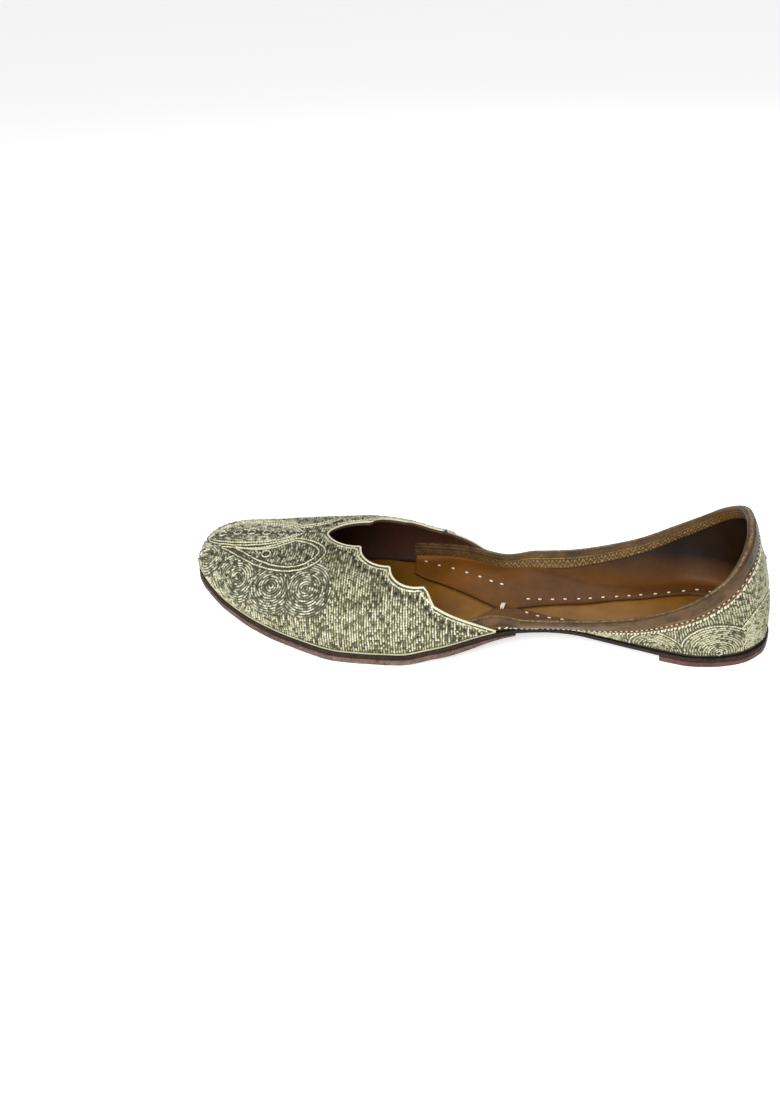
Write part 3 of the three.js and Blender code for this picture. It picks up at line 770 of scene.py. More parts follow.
def make_quarter_wall(name, outer_depth, inner_depth):
    points, faces = sheet_shell(quarter_grid(outer_depth), quarter_grid(inner_depth))
    return weld(new_mesh(name, points, outward(points, faces)))


wing_place = track(WING_EDGE["along"][4:], WING_EDGE["at"][4:])
wing_left = track(WING_EDGE["along"][4:], WING_EDGE["left"][4:])
wing_right = track(WING_EDGE["along"][4:], WING_EDGE["right"][4:])


def wing_free_edge(side, along):
    """The turned-in lining's free edge in plan: straight between rows in front of the heel pad, smooth
    round it. The second value is how far it lies to its own side of the middle."""
    ahead = along < WING_EDGE["along"][4]
    wide = np.interp(along, WING_EDGE["along"], WING_EDGE["left" if side > 0 else "right"])
    at = np.where(ahead, np.interp(along, WING_EDGE["along"], WING_EDGE["at"]), wing_place(along))
    wide = np.where(ahead, wide, (wing_left if side > 0 else wing_right)(along)) * HALF_BALL
    return x_at(at), np.where(ahead | (at >= 0.1), wide, np.maximum(wide, 0.12))


WING_THICKNESS = 1.4
LINING_THICKNESS = 0.65
LINING_LIFT = 0.1  # the turned-in lining stands this far off the insole
FOLD_RADIUS = 3.2


def lining_grid(side, raised):
    """The quarter's lining: down the wall, round a quadratic curve at its foot, and in over the insole.

    raised is True for the face that shows and False for the one against the wall and insole."""
    front = float(along_at(QUARTER_FRONT_AT)) + 0.002
    along = front + (1 - front) * np.linspace(0, 1, 190)
    depth = WALL if raised else WALL - LINING_THICKNESS
    rise = WING_THICKNESS if raised else 0.06
    foot = quarter_at(side, along, 0.0, depth)
    rim_z = rim_high_at(along) * HEEL_HEIGHT
    level = insole_top(foot[:, 0], foot[:, 1]) + LINING_LIFT + rise
    radius = np.minimum(FOLD_RADIUS, (rim_z - level) * 0.4)

    def wall(z):
        return quarter_at(side, along, (z - foot[:, 2]) / (rim_z - foot[:, 2]), depth)

    down = [wall(rim_z - 0.5 + (level + radius - rim_z + 0.5) * t) for t in np.linspace(0, 1, 14)]
    edge_x, edge_y = wing_free_edge(side, along)
    corner = wall(level)
    reach = np.stack([edge_x - corner[:, 0], side * edge_y - corner[:, 1]], 1)
    length = np.linalg.norm(reach, axis=1)
    turn_in = corner.copy()
    turn_in[:, :2] += reach / length[:, None] * np.minimum(radius, length * 0.4)[:, None]
    turned = [
        down[-1] * (1 - t) ** 2 + corner * 2 * t * (1 - t) + turn_in * t**2
        for t in np.linspace(0, 1, 9)[1:]
    ]
    leaf = []
    for t in np.linspace(0, 1, 12)[1:]:
        point = turn_in.copy()
        point[:, :2] += (np.stack([edge_x, side * edge_y], 1) - turn_in[:, :2]) * t
        lift = 0.4 * creased(point[:, 0], point[:, 1]) if raised else 0
        drop = 0.35 * WING_THICKNESS * smoothstep(t, 0.9, 1.0) if raised else 0
        point[:, 2] = insole_top(point[:, 0], point[:, 1]) + LINING_LIFT + rise + lift - drop
        leaf.append(point)
    return np.stack(down + turned + leaf, 1)


def cut_edge_and_shadow(side):
    """The dark skived edge of the turned-in lining, darkened further as painted shadow under the standing
    free edge: an ellipse carried along its free edge.
    """
    front = float(along_at(QUARTER_FRONT_AT)) + 0.004
    along = front + (1 - front) * np.linspace(0, 1, 360)
    x, y = wing_free_edge(side, along)
    y = y * side
    path = np.stack([x, y, insole_top(x, y) + LINING_LIFT + 0.36 * WING_THICKNESS], 1)
    kept = np.r_[True, np.linalg.norm(np.diff(path, axis=0), axis=1) > 0.02]
    path = path[kept]
    tangent = frames_along(path)
    out = np.cross(tangent, [0.0, 0.0, 1.0])
    out /= np.linalg.norm(out, axis=1)[:, None]
    return tube(path, out * 0.26, np.tile([0, 0, 0.34 * WING_THICKNESS], (len(path), 1)), 8)


def wing_surface(x, y):
    """Height of the turned-in lining's face over a place in plan."""
    return insole_top(x, y) + LINING_LIFT + WING_THICKNESS + 0.4 * creased(x, y)


# ---------------------------------------------------------------- collar


def collar_sweep(section, columns=170, start=0.0):
    """A closed section carried round the collar. Each row is a depth inside the quarter's face and a height
    above its rim; below the rim the point slides down the wall, above it the point rises straight up."""
    front = float(along_at(QUARTER_FRONT_AT)) + start
    along = front + (1 - front) * np.linspace(0, 1, columns)
    section = np.asarray(section, float)
    tall = wall_height(along)[:, None]
    down = 1 + np.minimum(section[None, :, 1], 0) / tall

    def one_side(side):
        points = quarter_at(side, along[:, None], down, section[None, :, 0])
        points[..., 2] += np.maximum(section[None, :, 1], 0)
        return points

    points = side_pair(one_side)
    rim = quarter_at(1, along, 1.0, 0.0)
    run = np.r_[0, np.cumsum(np.linalg.norm(np.diff(rim, axis=0), axis=1))]
    run = np.r_[run, 2 * run[-1] - run[::-1][1:]]
    across = np.r_[0, np.cumsum(np.linalg.norm(np.diff(section, axis=0), axis=1))]
    uv = np.stack(np.broadcast_arrays(run[:, None], across[None]), -1).reshape(-1, 2)
    flat = points.reshape(-1, 3)
    rows = len(section)
    cap = np.arange(rows)
    faces = [
        grid_faces(len(points), rows, wrap_rows=True), cap[None, ::-1],
        cap[None] + (len(points) - 1) * rows,
    ]
    return flat, outward_ngons(flat, faces), uv


def outward_ngons(points, faces):
    quads = outward(points, faces[:1])
    turned = quads[0] is not faces[0]
    return [quads[0]] + [face[:, ::-1] if turned else face for face in faces[1:]]


BINDING_SKIN = 0.9


def binding_section():
    """A U folded over the rim: outer leg, half an ellipse over the top, inner leg, and back again."""
    turn = np.linspace(np.pi, 0, 13)
    middle, reach = WALL / 2, WALL / 2 + BINDING_SKIN
    over = [(middle + reach * math.cos(t), 1.2 * math.sin(t)) for t in turn]
    outer = [(0.0, -3.95), (-0.55, -3.9), (-0.8, -3.6), (-0.86, -2.6), (-0.9, -1.3)]
    inner = [
        (WALL + 0.9, -1.3), (WALL + 0.86, -3.4), (WALL + 0.8, -4.2), (WALL + 0.55, -4.55), (WALL, -4.6),
    ]
    back = [(WALL - 0.05, -2.2), (WALL - 0.05, 0.15), (0.05, 0.15), (0.05, -2.2)]
    return outer + over + inner + back


BAND_SECTION = [
    (0.3, -3.6), (-0.05, -3.7), (-0.3, -4.0), (-0.34, -5.6), (-0.3, -7.2), (-0.05, -7.5), (0.3, -7.5),
]


# ---------------------------------------------------------------- embroidery


def sieve(lines, keep):
    """Lines cut to where keep(x, y) is true."""
    if not lines:
        return []
    flat = np.vstack(lines)
    kept = keep(flat[:, 0], flat[:, 1])
    ends = np.r_[0, np.cumsum([len(line) for line in lines])]
    return [piece for line, a, b in zip(lines, ends[:-1], ends[1:]) for piece in runs_of(line, kept[a:b])]


def far_from(x, y, spots, distance):
    """True where every spot is further away than the distance."""
    clear = np.ones(np.shape(x), bool)
    for begin in range(0, len(spots), 64):
        part = np.asarray(spots[begin : begin + 64])
        clear &= (np.hypot(x[:, None] - part[:, 0], y[:, None] - part[:, 1]) > distance).all(1)
    return clear


def smooth_leaf_half(x):
    curve = track(CENTRE_LEAF["x"], CENTRE_LEAF["half"])
    within = (x >= CENTRE_LEAF["x"][0]) & (x <= CENTRE_LEAF["x"][-1])
    return np.where(within, curve(x), -1.0)


def throat_offset_line(pattern, offset, step):
    """A line a fixed distance inside the throat's edge, from its point down the flank."""
    x, y = pattern.throat_x, pattern.throat_y
    slope = np.stack([np.gradient(x), np.gradient(y)], 1)
    slope /= np.linalg.norm(slope, axis=1)[:, None] + 1e-9
    line = np.stack([x + slope[:, 1] * offset, y - slope[:, 0] * offset], 1)
    line = line[(line[:, 1] > 0.3) & (line[:, 0] > 119) & (np.abs(slope[:, 1]) < 0.93)]
    order = np.argsort(-line[:, 0], kind="stable")
    line = line[order]
    smooth = np.convolve(np.pad(line[:, 1], 3, mode="edge"), np.ones(7) / 7, mode="valid")
    return evenly(np.stack([line[:, 0], smooth], 1), step)


def hole_places(pattern):
    line = throat_offset_line(pattern, 4.6, 0.4)
    return evenly(line, 3.4)[1:-1]


def vamp_lines(pattern, pitch, step):
    """The vamp's rows of stitches on one side: plain rows, rows inside motifs, and the motifs' outlines."""
    holes = hole_places(pattern)
    side_leaf = closed_curve(np.stack([SIDE_LEAF["x"], SIDE_LEAF["y"]], 1).astype(float), 12)
    leaf_x = np.linspace(CENTRE_LEAF["x"][0], CENTRE_LEAF["x"][-1], 140)
    centre_edge = np.stack([leaf_x, smooth_leaf_half(leaf_x)], 1)
    fans = list(zip(*FANS.values()))
    stones = [(x, 0.0) for x in CENTRE_STONES_X]

    outlines = [evenly(centre_edge, step), evenly(side_leaf, step)]
    inner_leaf = np.stack([SIDE_LEAF["x"], SIDE_LEAF["y"]], 1) * 0.80 + np.array([[208.0, 15.6]]) * 0.20
    outlines.append(evenly(closed_curve(inner_leaf, 12), step))
    outer_edge = np.stack([leaf_x, smooth_leaf_half(leaf_x) - 1.9], 1)
    outlines += runs_of(evenly(outer_edge, step), evenly(outer_edge, step)[:, 1] > 0.6)
    outlines += [circle_line(x, y, 1.9, step * 0.7) for x, y in [SIDE_STONE]]
    outlines += [circle_line(x, y, 1.8, step * 0.7, 0.25, np.pi - 0.5) for x, y in stones]

    def nearest(x, y):
        far = np.stack([np.hypot(x - fx, y - fy) / reach for fx, fy, reach in fans])
        return np.argmin(far, 0), far.min(0)

    outline_spots = np.vstack([line[::2] for line in outlines])

    def clear(x, y):
        return far_from(x, y, outline_spots, 0.8) & far_from(x, y, holes, 0.85) & pattern.holds(x, y)

    down = np.arange(0.5, 80, step)
    plain = [np.stack([np.full(len(down), x), down], 1) for x in np.arange(118.2, 254.5, pitch)]
    plain = sieve(
        plain,
        lambda x, y: clear(x, y) & ~in_centre(x, y) & ~in_side(x, y) & (nearest(x, y)[1] > 1.0),
    )
    motif = []
    for k, (fx, fy, reach) in enumerate(fans):
        rings = [circle_line(fx, fy, r, step) for r in np.arange(1.0, reach, pitch)]
        motif += sieve(
            rings, lambda x, y: clear(x, y) & (nearest(x, y)[0] == k) & ~in_centre(x, y) & ~in_side(x, y),
        )
    arcs = [circle_line(SIDE_STONE[0] + 6, SIDE_STONE[1], r, step) for r in np.arange(0.8, 44, pitch)]
    motif += sieve(arcs, lambda x, y: clear(x, y) & in_side(x, y) & far_from(x, y, [SIDE_STONE], 2.6))
    bands = [np.stack([leaf_x, smooth_leaf_half(leaf_x) - 1.9 - pitch * k], 1) for k in range(1, 11)]
    bands = [evenly(band, step) for band in bands]
    motif += sieve(bands, lambda x, y: (y > 0.5) & clear(x, y) & far_from(x, y, stones, 2.7))
    return plain, motif, outlines, holes


def in_centre(x, y):
    return y < smooth_leaf_half(x) + 0.7


def in_side(x, y):
    return in_outline(
        x, y, closed_curve(np.stack([SIDE_LEAF["x"], SIDE_LEAF["y"]], 1).astype(float), 5)[:-1],
    )


def quarter_lines(pattern, pitch, step):
    """The quarter's rows on one side: fish scales of rings round the heel, upright rows between them, and
    rows along the wall under the waist."""
    scales = list(zip(*SCALES.values()))

    def nearest(u, v):
        far = np.stack([np.hypot(u - su, v - sv) / reach for su, sv, reach in scales])
        return np.argmin(far, 0), far.min(0)

    edges = [circle_line(su, sv, reach + 0.4, step) for su, sv, reach in scales]
    edges = sieve(edges, lambda u, v: pattern.holds(u, v) & (nearest(u, v)[1] > 0.99))
    spots = np.vstack([line[::2] for line in edges])

    def clear(u, v):
        return pattern.holds(u, v) & far_from(u, v, spots, 0.9) & (np.hypot(u, v - HEEL_STONE[1]) > 4.6)

    rise = np.arange(1.2, 46, step)
    upright = [np.stack([np.full(len(rise), u), rise], 1) for u in np.arange(0.8, 82, pitch)]
    upright = sieve(upright, lambda u, v: clear(u, v) & (nearest(u, v)[1] > 1.0))
    length = np.arange(82, 138, step)
    lying = [np.stack([length, np.full(len(length), v)], 1) for v in np.arange(1.6, 16, pitch)]
    lying = sieve(lying, clear)
    motif = []
    for k, (su, sv, reach) in enumerate(scales):
        rings = [circle_line(su, sv, r, step) for r in np.arange(1.2, reach, pitch)]
        motif += sieve(rings, lambda u, v: clear(u, v) & (nearest(u, v)[0] == k))
    rings = [
        circle_line(0, HEEL_STONE[1], r, step * 0.8, -np.pi / 2 + 0.2, np.pi - 0.4)
        for r in (1.9, 3.0, 4.1)
    ]
    return upright + lying, motif, edges + sieve(rings, lambda u, v: u > 0.2)


def whip_lines(pattern):
    """The slanting whip stitches that hold the band's lower edge: one short line every pitch."""
    u = np.arange(0.8, 137, 1.55)
    t = np.linspace(0, 1, 5)
    slant = 0.95
    top = np.maximum(pattern.top(u), 10.1)
    return [np.stack([a + slant * t, b - 6.7 - 2.5 * t], 1) for a, b in zip(u, top)]


# ---------------------------------------------------------------- sole pieces


def plate(alongs, inset, low, high, round_over, wobble=0.0, across=12):
    """A flat piece that follows the sole. Its section is a rectangle with quarter-round corners: the left
    edge from bottom to top, the top across, the right edge down and the bottom back."""
    turn = np.linspace(0, np.pi / 2, 5)
    hand = wobble * (
        np.sin(alongs * 61.0) + 0.6 * np.sin(alongs * 143.0 + 1.0) + 0.4 * np.sin(alongs * 331.0)
    )
    hand = hand * smoothstep(alongs, 0, 0.02) * (1 - smoothstep(alongs, 0.98, 1))
    radius = min(round_over, 0.45)
    insets = np.r_[radius * (1 - np.sin(turn)), radius * (1 - np.cos(turn))]
    shares = np.r_[1 - np.cos(turn), np.sin(turn) - 1]
    left = []
    for k, (extra, share) in enumerate(zip(insets, shares)):
        x, y = inside(alongs, inset + extra + hand)
        bottom, top = low(x, y), high(x, y)
        corner = np.minimum(radius, 0.45 * (top - bottom))
        z = bottom + corner * share if k < len(turn) else top + corner * share
        left.append(np.stack([x, np.maximum(y, 0), z], 1))
    left = np.stack(left, 1)
    share = np.linspace(1, -1, across + 1)[1:-1]

    def flat(row, level):
        x = np.repeat(left[:, row, 0][:, None], across - 1, 1)
        y = left[:, row, 1][:, None] * share
        return np.stack([x, y, level(x, y)], -1)

    right = left[:, ::-1] * [1, -1, 1]
    ring = np.concatenate([left, flat(-1, high), right, flat(0, low)[:, ::-1]], 1)
    columns, rows = ring.shape[:2]
    points = ring.reshape(-1, 3)
    return points, outward(points, [grid_faces(columns, rows, wrap_rows=True)])


def eased(start, end, count):
    """Places from start to end, closer together near both ends."""
    t = np.linspace(0, 1, count)
    return start + (end - start) * (t - 0.75 * np.sin(2 * np.pi * t) / (2 * np.pi))


outsole_thickness = track([OUTSOLE_END_AT, 0.53, 1], [0.8, OUTSOLE_THICKNESS, OUTSOLE_THICKNESS])

# ---------------------------------------------------------------- finishes


def linear(text):
    """A colour's three linear values from its six-figure code."""
    parts = [int(text[i : i + 2], 16) / 255 for i in (0, 2, 4)]
    return tuple(c / 12.92 if c <= 0.04045 else ((c + 0.055) / 1.055) ** 2.4 for c in parts)


def new_group(name, inputs, outputs):
    group = bpy.data.node_groups.new(name, "ShaderNodeTree")
    for label, kind, value in inputs:
        socket = group.interface.new_socket(label, in_out="INPUT", socket_type=kind)
        if value is not None:
            socket.default_value = value
    for label, kind in outputs:
        group.interface.new_socket(label, in_out="OUTPUT", socket_type=kind)
    return group, group.nodes.new("NodeGroupInput"), group.nodes.new("NodeGroupOutput")


FLOAT, COLOUR, VECTOR = "NodeSocketFloat", "NodeSocketColor", "NodeSocketVector"


def node(tree, kind, settings=None, **inputs):
    """A node with its settings made and its inputs set or linked; input names use _ for a space."""
    made = tree.nodes.new(kind)
    for key, value in (settings or {}).items():
        setattr(made, key, value)
    for key, value in inputs.items():
        socket = made.inputs[int(key[1:])] if key[0] == "i" and key[1:].isdigit() else made.inputs[
            key.replace("_", " ")
        ]
        if isinstance(value, bpy.types.NodeSocket):
            tree.links.new(value, socket)
        else:
            socket.default_value = value
    return made


def maths(tree, operation, a, b=0.0, c=None):
    made = node(tree, "ShaderNodeMath", {"operation": operation}, i0=a, i1=b)
    if c is not None:
        if isinstance(c, bpy.types.NodeSocket):
            tree.links.new(c, made.inputs[2])
        else:
            made.inputs[2].default_value = c
    return made.outputs[0]


def mixed(tree, factor, a, b, blend="MIX"):
    made = tree.nodes.new("ShaderNodeMix")
    made.data_type, made.blend_type = "RGBA", blend
    for socket, value in ((made.inputs[0], factor), (made.inputs[6], a), (made.inputs[7], b)):
        if isinstance(value, bpy.types.NodeSocket):
            tree.links.new(value, socket)
        elif socket.type == "RGBA":
            socket.default_value = (*value[:3], 1.0)
        else:
            socket.default_value = value
    return made.outputs[2]


def ramp(tree, value, low, high, low_out=0.0, high_out=1.0):
    made = node(tree, "ShaderNodeMapRange", {"clamp": True}, i0=value)
    for k, number in zip((1, 2, 3, 4), (low, high, low_out, high_out)):
        made.inputs[k].default_value = number
    return made.outputs[0]


def times(tree, a, b):
    return maths(tree, "MULTIPLY", a, b)


def own_place(tree):
    return node(tree, "ShaderNodeTexCoord").outputs["Object"]


def cloud_at(tree, place, scale, detail, **more):
    """The value of a noise texture at a place."""
    return node(tree, "ShaderNodeTexNoise", Vector=place, Scale=scale, Detail=detail, **more).outputs["Fac"]


def build_groups():
    """The shared effects: grain, colour drift, rubbed edges with a painted highlight, thread twist with
    painted shade in its grooves, patina with painted shade and floor dust.
    """
    group, source, out = new_group(
        "Leather Grain",
        [("Scale", FLOAT, 1500.0), ("Pore Depth", FLOAT, 0.6), ("Wrinkle", FLOAT, 0.4)],
        [("Height", FLOAT), ("Pores", FLOAT)],
    )
    place = own_place(group)
    cells = node(
        group, "ShaderNodeTexVoronoi", {"feature": "DISTANCE_TO_EDGE"}, Vector=place,
        Scale=source.outputs["Scale"],
    )
    pores = ramp(group, cells.outputs["Distance"], 0.0, 0.28)
    broad = cloud_at(group, place, 230.0, 5.0, Roughness=0.6)
    fine = cloud_at(group, place, 2600.0, 3.0)
    height = times(group, pores, source.outputs["Pore Depth"])
    height = maths(group, "MULTIPLY_ADD", broad, source.outputs["Wrinkle"], height)
    height = maths(group, "MULTIPLY_ADD", fine, 0.25, height)
    group.links.new(height, out.inputs["Height"])
    group.links.new(pores, out.inputs["Pores"])

    group, source, out = new_group(
        "Colour Drift",
        [
            ("Light", COLOUR, (0.5, 0.3, 0.1, 1)), ("Dark", COLOUR, (0.2, 0.1, 0.05, 1)),
            ("Scale", FLOAT, 40.0), ("Speckle", FLOAT, 0.2),
        ],
        [("Color", COLOUR), ("Patch", FLOAT)],
    )
    place = own_place(group)
    drift = cloud_at(group, place, source.outputs["Scale"], 6.0, Roughness=0.62)
    speck = cloud_at(group, place, 1900.0, 2.0)
    patch = ramp(group, drift, 0.33, 0.68)
    shade = maths(group, "SUBTRACT", speck, 0.5)
    shade = maths(group, "MULTIPLY_ADD", shade, source.outputs["Speckle"], patch)
    group.links.new(
        mixed(group, shade, source.outputs["Dark"], source.outputs["Light"]), out.inputs["Color"],
    )
    group.links.new(patch, out.inputs["Patch"])

    # Lighter where a mask says: wear on the soles' edges, and on the binding also a painted highlight along
    # the top of its fold.
    group, source, out = new_group(
        "Rubbed Edge And Highlight",
        [
            ("Color", COLOUR, (0.2, 0.1, 0.05, 1)), ("Worn", COLOUR, (0.5, 0.4, 0.3, 1)),
            ("Mask", FLOAT, 0.0), ("Amount", FLOAT, 0.6),
        ],
        [("Color", COLOUR), ("Mask", FLOAT)],
    )
    place = own_place(group)
    breakup = cloud_at(group, place, 620.0, 6.0, Roughness=0.7)
    broken = ramp(group, breakup, 0.4, 0.62)
    rubbed_and_highlit = times(group, source.outputs["Mask"], broken)
    rubbed_and_highlit = times(group, rubbed_and_highlit, source.outputs["Amount"])
    group.links.new(
        mixed(group, rubbed_and_highlit, source.outputs["Color"], source.outputs["Worn"]), out.inputs["Color"],
    )
    group.links.new(rubbed_and_highlit, out.inputs["Mask"])

    # The Shade output darkens the grooves between the thread's turns: painted shade.
    group, source, out = new_group(
        "Thread Twist", [("Turns", FLOAT, 1.4), ("Slant", FLOAT, 0.9)],
        [("Height", FLOAT), ("Shade", FLOAT)]
    )
    across = node(
        group, "ShaderNodeSeparateXYZ",
        Vector=node(group, "ShaderNodeUVMap", {"uv_map": "UVMap"}).outputs[0],
    )
    slanted = maths(
        group, "MULTIPLY_ADD", across.outputs[1], source.outputs["Slant"],
        times(group, across.outputs[0], source.outputs["Turns"]),
    )
    wave = maths(
        group, "MULTIPLY_ADD", maths(group, "SINE", times(group, slanted, 2 * math.pi)), 0.5,
        0.5,
    )
    group.links.new(wave, out.inputs["Height"])
    group.links.new(ramp(group, wave, 0.0, 0.7, 0.55, 1.0), out.inputs["Shade"])

    # Darker toward the heel and up the wall: partly patina from handling, partly painted shade of the deep
    # heel.
    group, source, out = new_group(
        "Patina And Painted Shade",
        [
            ("Color", COLOUR, (0.2, 0.1, 0.05, 1)), ("Patina", COLOUR, (0.1, 0.05, 0.03, 1)),
            ("Amount", FLOAT, 0.8),
        ],
        [("Color", COLOUR), ("Mask", FLOAT)],
    )
    place = own_place(group)
    parts = node(group, "ShaderNodeSeparateXYZ", Vector=place).outputs
    toward_heel = ramp(group, parts[0], 0.03, -0.06)
    up_wall = ramp(group, parts[2], 0.008, 0.02)
    cloud = cloud_at(group, place, 45.0, 4.0)
    mask = times(group, toward_heel, maths(group, "MULTIPLY_ADD", up_wall, 0.6, 0.4))
    mask = times(group, mask, ramp(group, cloud, 0.2, 0.6, 0.9, 1.0))
    mask = times(group, mask, source.outputs["Amount"])
    group.links.new(
        mixed(group, mask, source.outputs["Color"], source.outputs["Patina"]), out.inputs["Color"],
    )
    group.links.new(mask, out.inputs["Mask"])

    group, source, out = new_group(
        "Floor Dust",
        [
            ("Color", COLOUR, (0.2, 0.1, 0.05, 1)), ("Dust", COLOUR, (0.5, 0.45, 0.38, 1)),
            ("Reach", FLOAT, 0.008), ("Amount", FLOAT, 0.4),
        ],
        [("Color", COLOUR), ("Mask", FLOAT)],
    )
    place = own_place(group)
    height = node(group, "ShaderNodeSeparateXYZ", Vector=place).outputs[2]
    near = maths(group, "SUBTRACT", 1.0, maths(group, "DIVIDE", height, source.outputs["Reach"]))
    cloud = cloud_at(group, place, 300.0, 7.0, Roughness=0.7)
    amount = times(group, maths(group, "MAXIMUM", near, 0.0), ramp(group, cloud, 0.38, 0.7))
    amount = times(group, amount, source.outputs["Amount"])
    group.links.new(
        mixed(group, amount, source.outputs["Color"], source.outputs["Dust"]), out.inputs["Color"],
    )
    group.links.new(amount, out.inputs["Mask"])


def group_node(tree, name, **inputs):
    made = tree.nodes.new("ShaderNodeGroup")
    made.node_tree = bpy.data.node_groups[name]
    for key, value in inputs.items():
        socket = made.inputs[key.replace("_", " ")]
        if isinstance(value, bpy.types.NodeSocket):
            tree.links.new(value, socket)
        elif socket.type == "RGBA":
            socket.default_value = (*value[:3], 1.0)
        else:
            socket.default_value = value
    return made


def new_material(name, **surface):
    """A material with its Principled shader, whose plain values are set on the shader's own sockets."""
    material = bpy.data.materials.new(name)
    material.use_nodes = True
    tree = material.node_tree
    shader = tree.nodes["Principled BSDF"]
    for key, value in surface.items():
        shader.inputs[key.replace("_", " ")].default_value = value
    return material, tree, shader


def bump(tree, shader, height, strength, distance):
    made = node(tree, "ShaderNodeBump", Strength=strength, Distance=distance, Height=height)
    tree.links.new(made.outputs[0], shader.inputs["Normal"])


def leather_material(
    name, light, dark, rough=(0.34, 0.52), grain=1500.0, pores=0.5, wrinkle=0.5, depth=0.00018, drift=38.0,
    speckle=0.35, dust=0.0, worn=None, patina_and_shade=None, **surface
):
    """Finished leather: drifting colour, pores and wrinkles as bump, roughness that follows the patches."""
    material, tree, shader = new_material(name, **surface)
    tone = group_node(tree, "Colour Drift", Light=light, Dark=dark, Scale=drift, Speckle=speckle)
    skin = group_node(tree, "Leather Grain", Scale=grain, Pore_Depth=pores, Wrinkle=wrinkle)
    colour = mixed(
        tree, ramp(tree, skin.outputs["Pores"], 0.0, 0.5, 0.35, 0.0), tone.outputs["Color"],
        tuple(c * 0.45 for c in dark),
    )
    # The patina colour also stands for painted shade deep in the heel.
    if patina_and_shade is not None:
        colour = group_node(
            tree, "Patina And Painted Shade", Color=colour, Patina=patina_and_shade, Amount=1.0,
        ).outputs["Color"]
    if worn is not None:
        facing = node(
            tree, "ShaderNodeSeparateXYZ", Vector=node(tree, "ShaderNodeNewGeometry").outputs["Normal"],
        ).outputs[2]
        edge = maths(tree, "SUBTRACT", 1.0, maths(tree, "ABSOLUTE", facing))
        colour = group_node(
            tree, "Rubbed Edge And Highlight", Color=colour, Worn=worn, Mask=edge, Amount=0.55,
        ).outputs["Color"]
    if dust:
        colour = group_node(
            tree, "Floor Dust", Color=colour, Dust=linear("9A8D7C"), Reach=0.007, Amount=dust,
        ).outputs["Color"]
    tree.links.new(colour, shader.inputs["Base Color"])
    tree.links.new(
        ramp(tree, tone.outputs["Patch"], 0.0, 1.0, rough[1], rough[0]), shader.inputs["Roughness"],
    )
    bump(tree, shader, skin.outputs["Height"], 0.55, depth)
    return material


def thread_material(name, pale, mid, deep, metallic, rough=0.42):
    """Thread whose stitches differ: the tone attribute picks deep, mid or pale, and the grooves of a twist
    are darkened as painted shade.
    """
    material, tree, shader = new_material(name, Roughness=rough)
    tone = node(tree, "ShaderNodeAttribute", {"attribute_name": "tone"}).outputs["Fac"]
    twist = group_node(tree, "Thread Twist", Turns=1.55, Slant=0.8)
    place = own_place(tree)
    drift = cloud_at(tree, place, 70.0, 4.0)
    value = maths(tree, "ADD", tone, ramp(tree, drift, 0.3, 0.7, -0.08, 0.08))
    first = mixed(tree, ramp(tree, value, 0.0, 0.42), deep, mid)
    second = mixed(tree, ramp(tree, value, 0.38, 0.95), first, pale)
    # Painted shade: the twist's grooves turn toward the deep colour.
    colour = mixed(tree, maths(tree, "SUBTRACT", 1.0, twist.outputs["Shade"]), second, deep)
    tree.links.new(colour, shader.inputs["Base Color"])
    tree.links.new(ramp(tree, value, 0.1, 0.8, metallic, metallic * 0.5), shader.inputs["Metallic"])
    bump(tree, shader, twist.outputs["Height"], 0.6, 0.00016)
    return material


